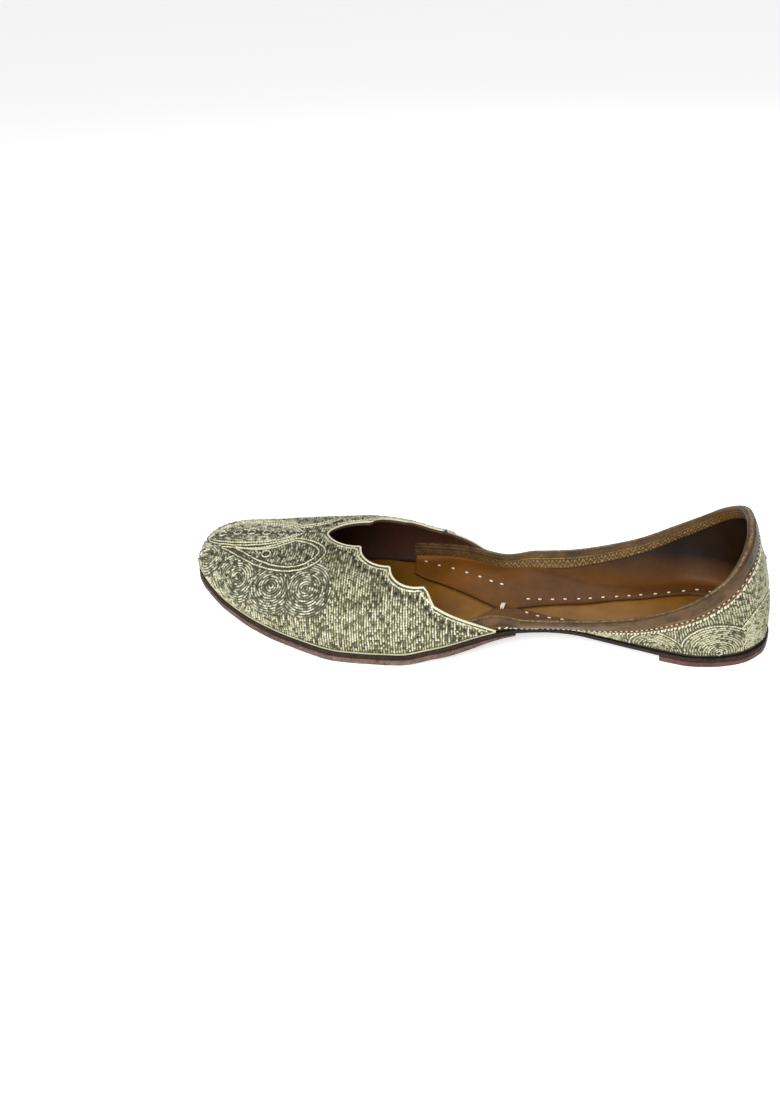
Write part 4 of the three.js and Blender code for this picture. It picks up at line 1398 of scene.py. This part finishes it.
def build_materials():
    """Every finish of the shoe, by name."""
    finish = bpy.context.scene.mojari_finish
    build_groups()
    made = {}
    made["thread"] = thread_material(
        "Embroidery Thread", finish.thread_pale, finish.thread_mid, finish.thread_deep, 0.45,
    )
    made["motif thread"] = thread_material(
        "Motif Thread", finish.thread_pale, finish.thread_motif, finish.thread_deep, 0.5,
    )
    made["outline"] = thread_material(
        "Outline Thread", finish.outline_pale, finish.thread_pale, finish.thread_mid, 0.2, 0.5,
    )
    made["edge"] = thread_material(
        "Folded Throat Edge", finish.edge_pale, finish.edge_pale, finish.thread_mid, 0.05, 0.6,
    )
    made["pale"] = thread_material(
        "Pale Quarter Thread", finish.outline_pale, finish.quarter_mid, finish.thread_deep, 0.35,
    )
    made["cotton"] = thread_material(
        "White Cotton", finish.cotton, finish.cotton, tuple(c * 0.6 for c in finish.cotton), 0.0, 0.8,
    )

    material, tree, shader = new_material("Embroidery Ground", Roughness=0.75)
    place = own_place(tree)
    weave_a = node(
        tree, "ShaderNodeTexWave", {"bands_direction": "X"}, Vector=place, Scale=320.0, Distortion=1.5,
    )
    weave_b = node(
        tree, "ShaderNodeTexWave", {"bands_direction": "Z"}, Vector=place, Scale=320.0, Distortion=1.5,
    )
    weave = times(tree, weave_a.outputs["Fac"], weave_b.outputs["Fac"])
    tone = group_node(
        tree, "Colour Drift", Light=finish.ground_light, Dark=finish.ground_dark, Scale=90.0, Speckle=0.6,
    )
    tree.links.new(
        mixed(tree, weave, tone.outputs["Color"], finish.thread_deep), shader.inputs["Base Color"],
    )
    bump(tree, shader, weave, 0.5, 0.0002)
    made["ground"] = material

    made["lining"] = leather_material(
        "Tan Lining Leather", finish.lining_light, finish.lining_dark, rough=(0.42, 0.58), grain=1300.0,
        pores=0.35, wrinkle=0.7, patina_and_shade=finish.lining_patina_and_shade, Specular_IOR_Level=0.16,
    )
    made["insole"] = leather_material(
        "Tan Insole Leather", finish.insole_light, finish.insole_dark, rough=(0.44, 0.6), grain=1300.0,
        pores=0.3, wrinkle=0.6, Specular_IOR_Level=0.22,
    )
    made["vamp lining"] = leather_material(
        "Brown Vamp Lining", finish.vamp_lining, tuple(c * 0.45 for c in finish.vamp_lining),
        rough=(0.5, 0.7), grain=900.0, pores=0.6, wrinkle=0.8, depth=0.0003,
    )
    made["midsole"] = leather_material(
        "Dark Midsole Leather", finish.midsole, tuple(c * 0.45 for c in finish.midsole), rough=(0.5, 0.7),
        grain=700.0, wrinkle=1.0, depth=0.0004, dust=0.06, worn=linear("3A281D"), Specular_IOR_Level=0.2,
    )
    made["outsole"] = leather_material(
        "Stacked Outsole Leather", finish.outsole, tuple(c * 0.5 for c in finish.outsole),
        rough=(0.48, 0.72), grain=600.0, wrinkle=1.2, depth=0.0005, drift=120.0, speckle=0.7, dust=0.35,
        worn=linear("77604F"), Specular_IOR_Level=0.25,
    )
    made["heel lift"] = leather_material(
        "Heel Lift Leather", finish.heel_lift, tuple(c * 0.5 for c in finish.heel_lift), rough=(0.4, 0.62),
        grain=600.0, wrinkle=1.2, depth=0.0005, drift=120.0, speckle=0.6, dust=0.15, worn=linear("63402F"),
        Specular_IOR_Level=0.25,
    )
    made["band"] = leather_material(
        "Collar Band Leather", finish.band_light, finish.band_dark, rough=(0.36, 0.52), grain=1600.0,
        pores=0.5, wrinkle=0.5, drift=110.0, Specular_IOR_Level=0.3,
    )

    material, tree, shader = new_material("Embossed Binding Leather", Specular_IOR_Level=0.28)
    uv = node(
        tree, "ShaderNodeSeparateXYZ", Vector=node(tree, "ShaderNodeUVMap", {"uv_map": "UVMap"}).outputs[0],
    )
    tone = group_node(
        tree, "Colour Drift", Light=finish.binding_light, Dark=finish.binding_dark, Scale=120.0,
        Speckle=0.5,
    )
    skin = group_node(tree, "Leather Grain", Scale=1700.0, Pore_Depth=0.5, Wrinkle=0.4)
    away = lambda value, centre: maths(tree, "ABSOLUTE", maths(tree, "SUBTRACT", value, centre))
    scroll = maths(tree, "SINE", times(tree, uv.outputs[0], 2 * math.pi / 3.4))
    centre = maths(tree, "MULTIPLY_ADD", scroll, 0.8, INNER_LEG_MIDDLE)
    ribbon = ramp(tree, away(uv.outputs[1], centre), 0.22, 0.5, 1.0, 0.0)
    phase = maths(tree, "SUBTRACT", maths(tree, "FRACT", maths(tree, "DIVIDE", uv.outputs[0], 1.7)), 0.5)
    spot_y = maths(tree, "MULTIPLY_ADD", scroll, -1.0, INNER_LEG_MIDDLE)
    spot = maths(
        tree, "ADD", maths(tree, "POWER", times(tree, phase, 2.3), 2.0),
        maths(tree, "POWER", maths(tree, "SUBTRACT", uv.outputs[1], spot_y), 2.0),
    )
    dots = ramp(tree, spot, 0.1, 0.35, 1.0, 0.0)
    rails = ramp(
        tree,
        maths(
            tree, "ABSOLUTE",
            maths(
                tree, "SUBTRACT",
                away(uv.outputs[1], INNER_LEG_MIDDLE), 1.75,
            ),
        ),
        0.1, 0.24, 1.0, 0.0,
    )
    pressed = maths(tree, "MAXIMUM", maths(tree, "MAXIMUM", ribbon, dots), rails)
    on_leg = ramp(
        tree, away(uv.outputs[1], INNER_LEG_MIDDLE), 2.1, 2.25,
        1.0, 0.0,
    )
    pressed = times(tree, pressed, on_leg)
    place = own_place(tree)
    patchy = cloud_at(tree, place, 900.0, 4.0)
    gilt = times(tree, pressed, ramp(tree, patchy, 0.38, 0.58, 0.25, 0.95))
    # The top of the fold is lightened: wear, and a painted highlight along the rim.
    top = ramp(
        tree, away(uv.outputs[1], TOP_OF_FOLD), 0.15, 1.0, 1.0,
        0.0,
    )
    rubbed_and_highlit = group_node(
        tree, "Rubbed Edge And Highlight", Color=tone.outputs["Color"], Worn=finish.band_worn_and_highlight, Mask=top, Amount=0.75,
    )
    tree.links.new(mixed(tree, gilt, rubbed_and_highlit.outputs["Color"], finish.gilt), shader.inputs["Base Color"])
    tree.links.new(times(tree, gilt, 0.55), shader.inputs["Metallic"])
    tree.links.new(ramp(tree, tone.outputs["Patch"], 0.0, 1.0, 0.46, 0.34), shader.inputs["Roughness"])
    bump(tree, shader, maths(tree, "MULTIPLY_ADD", pressed, -1.1, skin.outputs["Height"]), 0.7, 0.00022)
    made["binding"] = material

    # Holes are drawn as dark discs: their colour is painted shade of each hole's inside.
    material, tree, shader = new_material("Painted Hole Shade", Roughness=0.9)
    tone = group_node(
        tree, "Colour Drift", Light=linear("20241C"), Dark=linear("0C0E0A"), Scale=500.0, Speckle=0.4,
    )
    tree.links.new(tone.outputs["Color"], shader.inputs["Base Color"])
    made["hole"] = material

    material, tree, shader = new_material(
        "Red Glass Stone", Roughness=0.12, IOR=1.55, Coat_Weight=0.6, Coat_Roughness=0.05,
    )
    tone = group_node(
        tree, "Colour Drift", Light=finish.stone, Dark=tuple(c * 0.25 for c in finish.stone), Scale=900.0,
        Speckle=0.3,
    )
    tree.links.new(tone.outputs["Color"], shader.inputs["Base Color"])
    made["stone"] = material

    material, tree, shader = new_material(
        "Pale Floor", Roughness=0.7, Emission_Color=(1, 1, 1, 1), Emission_Strength=0.5,
    )
    place = own_place(tree)
    cloud = cloud_at(tree, place, 3.0, 3.0)
    tree.links.new(
        mixed(tree, cloud, (0.93, 0.93, 0.93), (0.96, 0.96, 0.96)),
        shader.inputs["Base Color"],
    )
    made["floor"] = material
    return made


def section_places():
    """Where on the binding's section its inner leg's middle and the top of its fold lie, in mm run."""
    section = np.asarray(binding_section())
    run = np.r_[0, np.cumsum(np.linalg.norm(np.diff(section, axis=0), axis=1))]
    inner = [run[i] for i, (depth, height) in enumerate(section) if depth > WALL + 0.5 and height < -0.5]
    return float(np.mean([inner[0], inner[-1]])), float(run[int(np.argmax(section[:, 1]))])


INNER_LEG_MIDDLE, TOP_OF_FOLD = section_places()
FINISHES = {}

# ---------------------------------------------------------------- settings


def colour_setting(name, text, description):
    return bpy.props.FloatVectorProperty(
        name=name, description=description, subtype="COLOR", size=3, min=0, max=1, default=linear(text),
    )


def length_setting(name, description, default, low, high):
    about = f"{description}, in mm"
    return bpy.props.FloatProperty(name=name, description=about, default=default, min=low, max=high)


class MojariStitching(bpy.types.PropertyGroup):
    row_pitch: length_setting("Row pitch", "Distance between rows of chain stitch", 1.12, 0.8, 3)
    thread_width: length_setting("Thread width", "Width of one row", 1.2, 0.3, 3)
    thread_height: length_setting("Thread height", "How far a row stands over its ground", 0.55, 0.1, 1.5)
    stitch_length: length_setting("Stitch length", "Length of one chain stitch", 1.24, 0.8, 5)
    hole_size: length_setting("Hole size", "Radius of the holes along the throat", 0.55, 0.2, 1.5)


class MojariFinish(bpy.types.PropertyGroup):
    thread_pale: colour_setting("Pale thread", "E9E6C8", "Lightest stitches of the embroidery")
    thread_mid: colour_setting("Gold thread", "A6A27C", "Most of the embroidery")
    thread_motif: colour_setting("Motif thread", "8D8E76", "The stitches inside the motifs")
    thread_deep: colour_setting("Deep thread", "3F3F2D", "Darkest stitches of the embroidery")
    quarter_mid: colour_setting("Quarter thread", "B3B08C", "Most of the embroidery round the heel")
    outline_pale: colour_setting("Outline thread", "D3D0B2", "Outlines of the motifs")
    edge_pale: colour_setting("Folded edge", "DDD8BC", "Folded edge of the throat and the whip stitches")
    ground_light: colour_setting("Ground light", "4E4A35", "Leather seen between the rows")
    ground_dark: colour_setting("Ground dark", "2A281C", "Leather seen between the rows, in patches")
    cotton: colour_setting("Cotton", "EFE6CF", "White stitches inside the shoe")
    lining_light: colour_setting("Lining light", "8E5A20", "Tan lining where it is palest")
    lining_dark: colour_setting("Lining dark", "6E4419", "Tan lining in its darker patches")
    # Partly patina from handling, partly painted shade of the deep heel.
    lining_patina_and_shade: colour_setting(
        "Lining patina", "120804", "Tan lining darker at the heel: patina from handling and painted shade",
    )
    insole_light: colour_setting("Insole light", "9C6A1E", "Insole where it is palest")
    insole_dark: colour_setting("Insole dark", "7A5018", "Insole in its darker patches")
    vamp_lining: colour_setting("Vamp lining", "4A2818", "Brown lining under the vamp")
    midsole: colour_setting("Midsole", "21130E", "Edge of the midsole")
    outsole: colour_setting("Outsole", "574138", "Edge of the half sole")
    heel_lift: colour_setting("Heel lift", "54302A", "Edge of the heel lift")
    band_light: colour_setting("Binding light", "74552B", "Bronze leather of the collar")
    band_dark: colour_setting("Binding dark", "43301B", "Bronze leather in its darker patches")
    binding_light: colour_setting("Folded binding light", "5F421F", "Bronze binding folded over the collar")
    binding_dark: colour_setting("Folded binding dark", "35230F", "Bronze binding in its darker patches")
    # Partly wear, partly painted highlight along the collar's top.
    band_worn_and_highlight: colour_setting("Binding worn and highlight", "A8926A", "Rubbed top of the collar, lighter also as painted highlight")
    gilt: colour_setting("Gilt", "94783F", "Gold pressed into the binding")
    stone: colour_setting("Stone", "470D0F", "Small glass stones")


def add_piece(name, parts, slot, finish, replaces=()):
    points, faces, tone, uv = parts
    mesh = new_mesh(name, points, faces, {"tone": tone}, uv)
    return put(mesh, slot, [FINISHES[finish]], replaces)


def turned(parts):
    """The same parts with all their faces outward."""
    return [(points, outward(points, faces), tone, uv) for points, faces, tone, uv in parts]


def both(build):
    """The same build for the left and the right side, gathered into one mesh's arrays."""
    return gather([build(side) for side in (1, -1)])


def surface_normal(pattern, x, y):
    """A pattern's outward direction at flat places, from the place and one a millimetre further out."""
    here = pattern.place(x, y, 0.0)
    step_out = pattern.place(x, y, 1.0) - here
    return step_out / (np.linalg.norm(step_out, axis=-1)[..., None] + 1e-12), here


# ---------------------------------------------------------------- operators


class MojariMaterials(bpy.types.Operator):
    """Make every finish of the shoe"""

    bl_idname = "mojari.materials"
    bl_label = "Finishes"

    def execute(self, context):
        FINISHES.update(build_materials())
        return {"FINISHED"}


class MojariSole(bpy.types.Operator):
    """Build the half sole, the heel lift, the midsole and the insole"""

    bl_idname = "mojari.sole"
    bl_label = "Sole"

    def execute(self, context):
        def piece(name, built, slot, finish, fill=False):
            mesh = weld(new_mesh(name, *built), fill)
            put(mesh, slot, [FINISHES[finish]], (name,))

        top = lambda x, y: underside(x, y) - GAP
        sole_end = float(along_at(OUTSOLE_END_AT))
        piece(
            "outsole",
            plate(
                eased(0, sole_end, 240), 0.0, lambda x, y: top(x, y) - outsole_thickness(at_of(x)), top,
                0.4, 0.1,
            ),
            "outsole_leather", "outsole", True,
        )
        breast = float(along_at(HEEL_BREAST_AT))
        level = lambda value: lambda x, y: np.full(np.shape(x), value)
        piece(
            "heel_lift", plate(eased(breast, 1, 160), 0.3, level(0.0), level(LIFT_THICKNESS), 0.4, 0.08),
            "heel_leather", "heel lift", True,
        )
        piece(
            "midsole",
            plate(
                eased(0, 1, 320), 0.25, underside, lambda x, y: underside(x, y) + MIDSOLE_THICKNESS, 0.35,
                0.08,
            ),
            "midsole_leather", "midsole",
        )
        alongs = eased(0, 1, 320)
        piece(
            "insole", plate(alongs, inner_foot(alongs) + GAP, seat, insole_top, 0.2, across=60),
            "lining_leather", "insole",
        )
        return {"FINISHED"}


class MojariUpper(bpy.types.Operator):
    """Build the walls of the vamp and quarter, their linings and the lining turned in over the insole"""

    bl_idname = "mojari.upper"
    bl_label = "Upper"

    def execute(self, context):
        put(
            make_vamp_wall("vamp_ground", GROUND_DEPTH, 1.3), "embroidered_upper", [FINISHES["ground"]],
            ("upper",),
        )
        put(make_vamp_wall("vamp_lining", 1.34, WALL), "lining_leather", [FINISHES["vamp lining"]])
        put(
            make_quarter_wall("quarter_ground", GROUND_DEPTH, 1.3), "embroidered_upper",
            [FINISHES["ground"]],
        )
        for side, name in ((1, "wing_left"), (-1, "wing_right")):
            points, faces = sheet_shell(lining_grid(side, True), lining_grid(side, False))
            mesh = weld(new_mesh(name, points, outward(points, faces)))
            put(mesh, "lining_leather", [FINISHES["lining"]], (name,))
        # A dark tube along each wing's free edge: its cut edge, and painted shadow under it.
        add_piece("wing_cut_edges_and_shadows", both(cut_edge_and_shadow), "lining_leather", "vamp lining")
        return {"FINISHED"}


class MojariCollar(bpy.types.Operator):
    """Build the folded binding, the band under it, its whip stitches and the band's running stitches"""

    bl_idname = "mojari.collar"
    bl_label = "Collar"

    def execute(self, context):
        points, faces, uv = collar_sweep(binding_section())
        put(
            new_mesh("collar_binding", points, faces, uv=uv), "binding_leather", [FINISHES["binding"]],
            ("collar_binding",),
        )
        points, faces, uv = collar_sweep(BAND_SECTION, start=0.04)
        put(new_mesh("collar_band", points, faces, uv=uv), "binding_leather", [FINISHES["band"]])

        def whip(side):
            pattern = QuarterPattern(side)
            points, faces, tone, uv = cords(
                whip_lines(pattern), pattern, 1.5, 0.95, 2.6, tone=(0.8, 1.0), seed=8,
            )
            return points, outward(points, faces), tone, uv

        add_piece("collar_whip_stitches", both(whip), "pale_thread", "edge")

        def dots(side, shift, size, tone, lift):
            pattern = QuarterPattern(side)
            u = np.arange(1.0 + shift, 136, 2.3)
            v = pattern.top(u) - 5.7
            up, here = surface_normal(pattern, u, v)
            forward = pattern.place(u + 0.5, pattern.top(u + 0.5) - 5.7, 0.0) - here
            points, faces, value, uv = beads(
                here + up * lift, forward, up, size, rings=5, around=7, tone=tone,
            )
            return points, outward(points, faces), value, uv

        add_piece(
            "collar_band_stitches", both(lambda s: dots(s, 0.0, (0.62, 0.24, 0.3), 0.6, 0.68)),
            "pale_thread", "outline",
        )
        # Dark discs between the running stitches: painted shade of the band's holes.
        add_piece(
            "collar_band_holes", both(lambda s: dots(s, 1.15, (0.5, 0.42, 0.22), 0.5, 0.68)),
            "binding_leather", "hole",
        )
        return {"FINISHED"}


class MojariEmbroidery(bpy.types.Operator):
    """Lay the rows of chain stitch, the motifs and their outlines on the vamp and quarter"""

    bl_idname = "mojari.embroidery"
    bl_label = "Embroidery"

    def execute(self, context):
        sizes = context.scene.mojari_stitching
        pitch, stitch = sizes.row_pitch, sizes.stitch_length
        step = stitch / 2
        width, height = sizes.thread_width, sizes.thread_height
        layers = {"plain": [], "motif": [], "outline": [], "quarter": []}
        holes = []
        for side in (1, -1):
            for kind, pattern, lines in (
                ("vamp", VampPattern(side), vamp_lines),
                ("quarter", QuarterPattern(side), quarter_lines),
            ):
                plain, motif, outline, *rest = lines(pattern, pitch, step)
                seed = side + (4 if kind == "vamp" else 9)
                rows, rings = ("plain", "motif") if kind == "vamp" else ("quarter", "quarter")
                layers[rows].append(cords(plain, pattern, width, height, stitch, seed=seed))
                layers[rings].append(cords(motif, pattern, width, height, stitch, seed=seed + 1))
                layers["outline"].append(
                    cords(
                        outline, pattern, width * 0.8, height * 1.25, stitch, tone=(0.0, 0.8),
                        seed=seed + 2,
                    )
                )
                if rest:
                    holes.append((pattern, rest[0]))
                    rim = throat_offset_line(pattern, 1.9, step)
                    layers["outline"].append(
                        cords([rim], pattern, width, height, stitch, tone=(0.0, 0.7), seed=seed + 3)
                    )
        for kind, finish in (
            ("plain", "thread"), ("motif", "motif thread"), ("outline", "outline"), ("quarter", "pale"),
        ):
            parts = turned(part for part in layers[kind] if len(part[0]))
            add_piece(f"embroidery_{kind}", gather(parts), "embroidered_upper", finish)
        # Dark discs along the throat: painted shade of its holes.
        parts = []
        for pattern, spots in holes:
            up, here = surface_normal(pattern, spots[:, 0], spots[:, 1])
            forward = pattern.place(spots[:, 0] + 0.5, spots[:, 1], 0.0) - here
            r = sizes.hole_size
            points, faces, tone, uv = beads(here + up * 0.12, forward, up, (r, r, 0.3), rings=5, around=9)
            parts.append((points, outward(points, faces), tone, uv))
        add_piece("throat_holes", gather(parts), "embroidered_upper", "hole")
        return {"FINISHED"}


class MojariEdges(bpy.types.Operator):
    """Build the folded cream edge of the throat and the cord along the feather of the sole"""

    bl_idname = "mojari.edges"
    bl_label = "Edges"

    def execute(self, context):
        along_l, rise_l = throat_curve(1, 26, 60)
        along_r, rise_r = throat_curve(-1, 26, 60)
        side = np.r_[np.ones(len(along_l)), -np.ones(len(along_r) - 1)]
        along, rise = np.r_[along_l[::-1], along_r[1:]], np.r_[rise_l[::-1], rise_r[1:]]
        outer = vamp_at(side, along, rise, 0.12)
        inner = vamp_at(side, along, rise, 0.95)
        lower = vamp_at(side, along, np.maximum(rise - 0.02, 0), 0.54)
        through = (outer - inner) / 2
        middle = (outer + inner) / 2
        inward = lower - middle
        inward -= through * np.sum(inward * through, 1)[:, None] / np.sum(through**2, 1)[:, None]
        inward /= np.linalg.norm(inward, axis=1)[:, None] + 1e-9
        path = middle + inward * 0.35
        path = np.vstack([path[:1], (path[:-2] + 2 * path[1:-1] + path[2:]) / 4, path[-1:]])
        across = np.cross(frames_along(path), through)
        across /= np.linalg.norm(across, axis=1)[:, None] + 1e-9
        add_piece("throat_edge", tube(path, through, across * 0.5, 12), "pale_thread", "edge")

        end = float(along_at(VAMP_FLANK["at"][1]))
        line = end * np.linspace(0, 1, 420)

        def feather(side):
            points = vamp_at(side, line, 0.012, 0.05)
            points[:, 2] += 0.15
            return points

        path = np.concatenate([feather(1)[::-1], feather(-1)[1:]])
        tangent = frames_along(path)
        up = np.tile([0.0, 0.0, 1.0], (len(path), 1))
        out = np.cross(tangent, up)
        out /= np.linalg.norm(out, axis=1)[:, None]
        wall = np.cross(out, tangent)
        add_piece("feather_cord", tube(path, out * 0.4, wall * 0.45, 8), "pale_thread", "thread")
        return {"FINISHED"}


class MojariStones(bpy.types.Operator):
    """Set the small glass stones on the vamp's ridge, in its side leaves and at the back of the heel"""

    bl_idname = "mojari.stones"
    bl_label = "Stones"

    def execute(self, context):
        parts = []
        for side in (1, -1):
            pattern = VampPattern(side)
            spots = [SIDE_STONE] + ([(x, 0.0) for x in CENTRE_STONES_X] if side > 0 else [])
            spots = np.array(spots)
            up, here = surface_normal(pattern, spots[:, 0], spots[:, 1])
            ridge = spots[:, 1] == 0
            up[ridge, 1] = 0
            forward = pattern.place(spots[:, 0] + 0.5, spots[:, 1], 0.0) - here
            parts.append(beads(here + up * 0.3, forward, up, (1.25, 1.15, 0.62), rings=6, around=12))
        heel = QuarterPattern(1)
        up, here = surface_normal(heel, np.array([0.0]), np.array([HEEL_STONE[1]]))
        here[:, 1], up[:, 1] = 0, 0
        parts.append(beads(here + up * 0.3, [[0, 1, 0]], up, (1.25, 1.25, 0.62), rings=6, around=12))
        add_piece("stones", gather(turned(parts)), "red_stone", "stone")
        return {"FINISHED"}


# White stitches inside, x from the heel end, y from the middle: each wing's front, and round the pad.
WHITE_STITCHES = {
    "left front": [(141.5, 31.2), (134.4, 30.4), (128.1, 29.2), (122.6, 27.6), (117.7, 25.4)],
    "right front": [
        (156.4, -36.3), (149.4, -31.2), (142, -26.3), (134.9, -21.6), (128.3, -17.2), (122.6, -13.6),
        (117.5, -10.7),
    ],
    "left pad": [
        (104.2, 13.2), (99.3, 15.6), (94.2, 16.4), (88.6, 16.7), (82.6, 17), (76.6, 17.3), (70.8, 17.6),
        (65, 17.9),
        (59.2, 18.3), (53.4, 18.9), (47.6, 19.6), (41.8, 20.4), (36, 21.2), (30.2, 21.6), (24.6, 20.4),
        (20, 16.6), (17.6, 9.6),
    ],
    "right pad": [
        (104.4, 1.2), (99.3, 0.6), (93.7, -0.6), (88.2, -2), (82.2, -3.8), (77.1, -5.7), (71.5, -8),
        (65.5, -10.1),
        (59.9, -12.1), (54.7, -14.1), (48.2, -16.1), (42.2, -18), (35.6, -20.2), (29.6, -21.7),
        (23.8, -20.2), (19.6, -16), (17.6, -8),
    ],
}
WAIST_BAR = (115.1, 8.6)


class MojariStitches(bpy.types.Operator):
    """Sew the white stitches: along the wings, round the heel pad and the bar at the waist"""

    bl_idname = "mojari.stitches"
    bl_label = "Inside stitches"

    def execute(self, context):
        parts, pricks = [], []
        for name, places in WHITE_STITCHES.items():
            size = (1.1, 0.5, 0.42) if "front" in name else (0.95, 0.42, 0.38)
            x, y = np.array(places, float).T
            x = x - SHOE_LENGTH / 2
            here = np.stack([x, y, wing_surface(x, y) + 0.12], 1)
            forward = frames_along(here)
            up = np.tile([0.0, 0.0, 1.0], (len(x), 1))
            parts.append(beads(here, forward, up, size, rings=7, around=8, tone=0.95))
            # Dark discs at each stitch's ends: painted shade of the needle holes.
            for way in (-1, 1):
                ends = here + forward * way * (size[0] + 0.15) - up * 0.08
                pricks.append(beads(ends, forward, up, (0.45, 0.42, 0.14), rings=5, around=8, tone=0.4))
        t = np.linspace(0, 1, 22)
        for shift, seed in ((-0.45, 1), (0.5, 2)):
            x = WAIST_BAR[0] - SHOE_LENGTH / 2 + shift + 0.5 * (t - 0.5)
            y = WAIST_BAR[1] + (t - 0.5) * 5.2
            z = wing_surface(x, y) + 0.25 + 0.55 * np.sin(np.pi * t)
            path = np.stack([x, y, z], 1)
            tangent = frames_along(path)
            up = np.tile([0.0, 0.0, 1.0], (len(t), 1))
            out = np.cross(tangent, up)
            out /= np.linalg.norm(out, axis=1)[:, None]
            round_over = np.sin(np.clip(np.pi * t, 0.25, np.pi - 0.25))[:, None] ** 0.35
            parts.append(
                tube(path, out * 0.52 * round_over, np.cross(out, tangent) * 0.45 * round_over, 10)
            )
        add_piece("inside_stitches", gather(turned(parts)), "pale_thread", "cotton")
        add_piece("inside_stitch_holes", gather(turned(pricks)), "lining_leather", "hole")
        return {"FINISHED"}


CAMERA_PLACE = (-0.05617, 0.46464, 0.29037)  # metres
CAMERA_AIM = (0.1765, -0.8597, -0.4794)  # the way it looks
CAMERA_ROLL = -0.0549  # radians
CAMERA_LENS, CAMERA_SENSOR = 38.99, 36.0
FLOOR_REACH = 6.0  # metres


class MojariStage(bpy.types.Operator):
    """Set the floor, the soft lights and the camera"""

    bl_idname = "mojari.stage"
    bl_label = "Stage"

    def execute(self, context):
        scene = context.scene
        mesh = bpy.data.meshes.new("floor")
        reach = FLOOR_REACH
        mesh.from_pydata(
            [(-reach, -reach, 0), (reach, -reach, 0), (reach, reach, 0), (-reach, reach, 0)], [],
            [(0, 1, 2, 3)],
        )
        floor = bpy.data.objects.new("floor", mesh)
        scene.collection.objects.link(floor)
        mesh.materials.append(FINISHES["floor"])

        world = bpy.data.worlds.new("Studio")
        scene.world = world
        world.use_nodes = True
        tree = world.node_tree
        seen = node(tree, "ShaderNodeLightPath").outputs["Is Camera Ray"]
        tree.links.new(ramp(tree, seen, 0.0, 1.0, 0.42, 1.0), tree.nodes["Background"].inputs[1])
        tree.nodes["Background"].inputs[0].default_value = (1, 1, 1, 1)
        for name, place, aim, size, power in (
            ("key softbox", (0.22, 1.05, 0.58), (0.0, 0.0, 0.02), 0.8, 18.0),
            ("back softbox", (-0.3, -0.8, 0.8), (0.0, 0.0, 0.03), 0.8, 4.0),
        ):
            data = bpy.data.lights.new(name, "AREA")
            data.shape, data.size, data.energy = "SQUARE", size, power
            lamp = bpy.data.objects.new(name, data)
            toward = np.array(place) - np.array(aim)
            lamp.matrix_world = looking(place, -toward)
            scene.collection.objects.link(lamp)
        scene.view_settings.view_transform = "Standard"

        camera = bpy.data.cameras.new("camera")
        camera.sensor_fit, camera.sensor_width = "AUTO", CAMERA_SENSOR
        camera.lens = CAMERA_LENS
        camera.clip_start, camera.clip_end = 0.01, 20.0
        seen = bpy.data.objects.new("camera", camera)
        seen.matrix_world = looking(CAMERA_PLACE, CAMERA_AIM, math.degrees(CAMERA_ROLL))
        scene.collection.objects.link(seen)
        scene.camera = seen
        return {"FINISHED"}


def looking(place, forward, roll=0.0):
    """A matrix at a place whose -Z looks forward and whose X is level, then rolled by degrees."""
    forward = np.array(forward, float) / np.linalg.norm(forward)
    right = np.cross(forward, (0, 0, 1))
    right /= np.linalg.norm(right)
    up = np.cross(right, forward)
    c, s = math.cos(math.radians(roll)), math.sin(math.radians(roll))
    right, up = right * c + up * s, up * c - right * s
    rows = [[right[k], up[k], -forward[k], place[k]] for k in range(3)] + [[0, 0, 0, 1]]
    return Matrix(rows)


BUILDERS = (
    MojariMaterials, MojariSole, MojariUpper, MojariCollar, MojariEmbroidery, MojariEdges, MojariStones,
    MojariStitches, MojariStage,
)


class MojariPanel(bpy.types.Panel):
    """Lists the shoe's settings and its pieces"""

    bl_idname = "MOJARI_PT_shoe"
    bl_label = "Mojari Shoe"
    bl_space_type = "VIEW_3D"
    bl_region_type = "UI"
    bl_category = "Mojari"

    def draw(self, context):
        for settings in (context.scene.mojari_stitching, context.scene.mojari_finish):
            box = self.layout.box()
            for key in settings.__annotations__:
                box.prop(settings, key)
        for builder in BUILDERS:
            self.layout.operator(builder.bl_idname)


CLASSES = (MojariStitching, MojariFinish, *BUILDERS, MojariPanel)


def register():
    for kind in CLASSES:
        bpy.utils.register_class(kind)
    bpy.types.Scene.mojari_stitching = bpy.props.PointerProperty(type=MojariStitching)
    bpy.types.Scene.mojari_finish = bpy.props.PointerProperty(type=MojariFinish)


def unregister():
    del bpy.types.Scene.mojari_finish
    del bpy.types.Scene.mojari_stitching
    for kind in reversed(CLASSES):
        bpy.utils.unregister_class(kind)


def main():
    register()
    for builder in BUILDERS:
        group, name = builder.bl_idname.split(".")
        getattr(getattr(bpy.ops, group), name)()


if __name__ == "__main__":
    main()
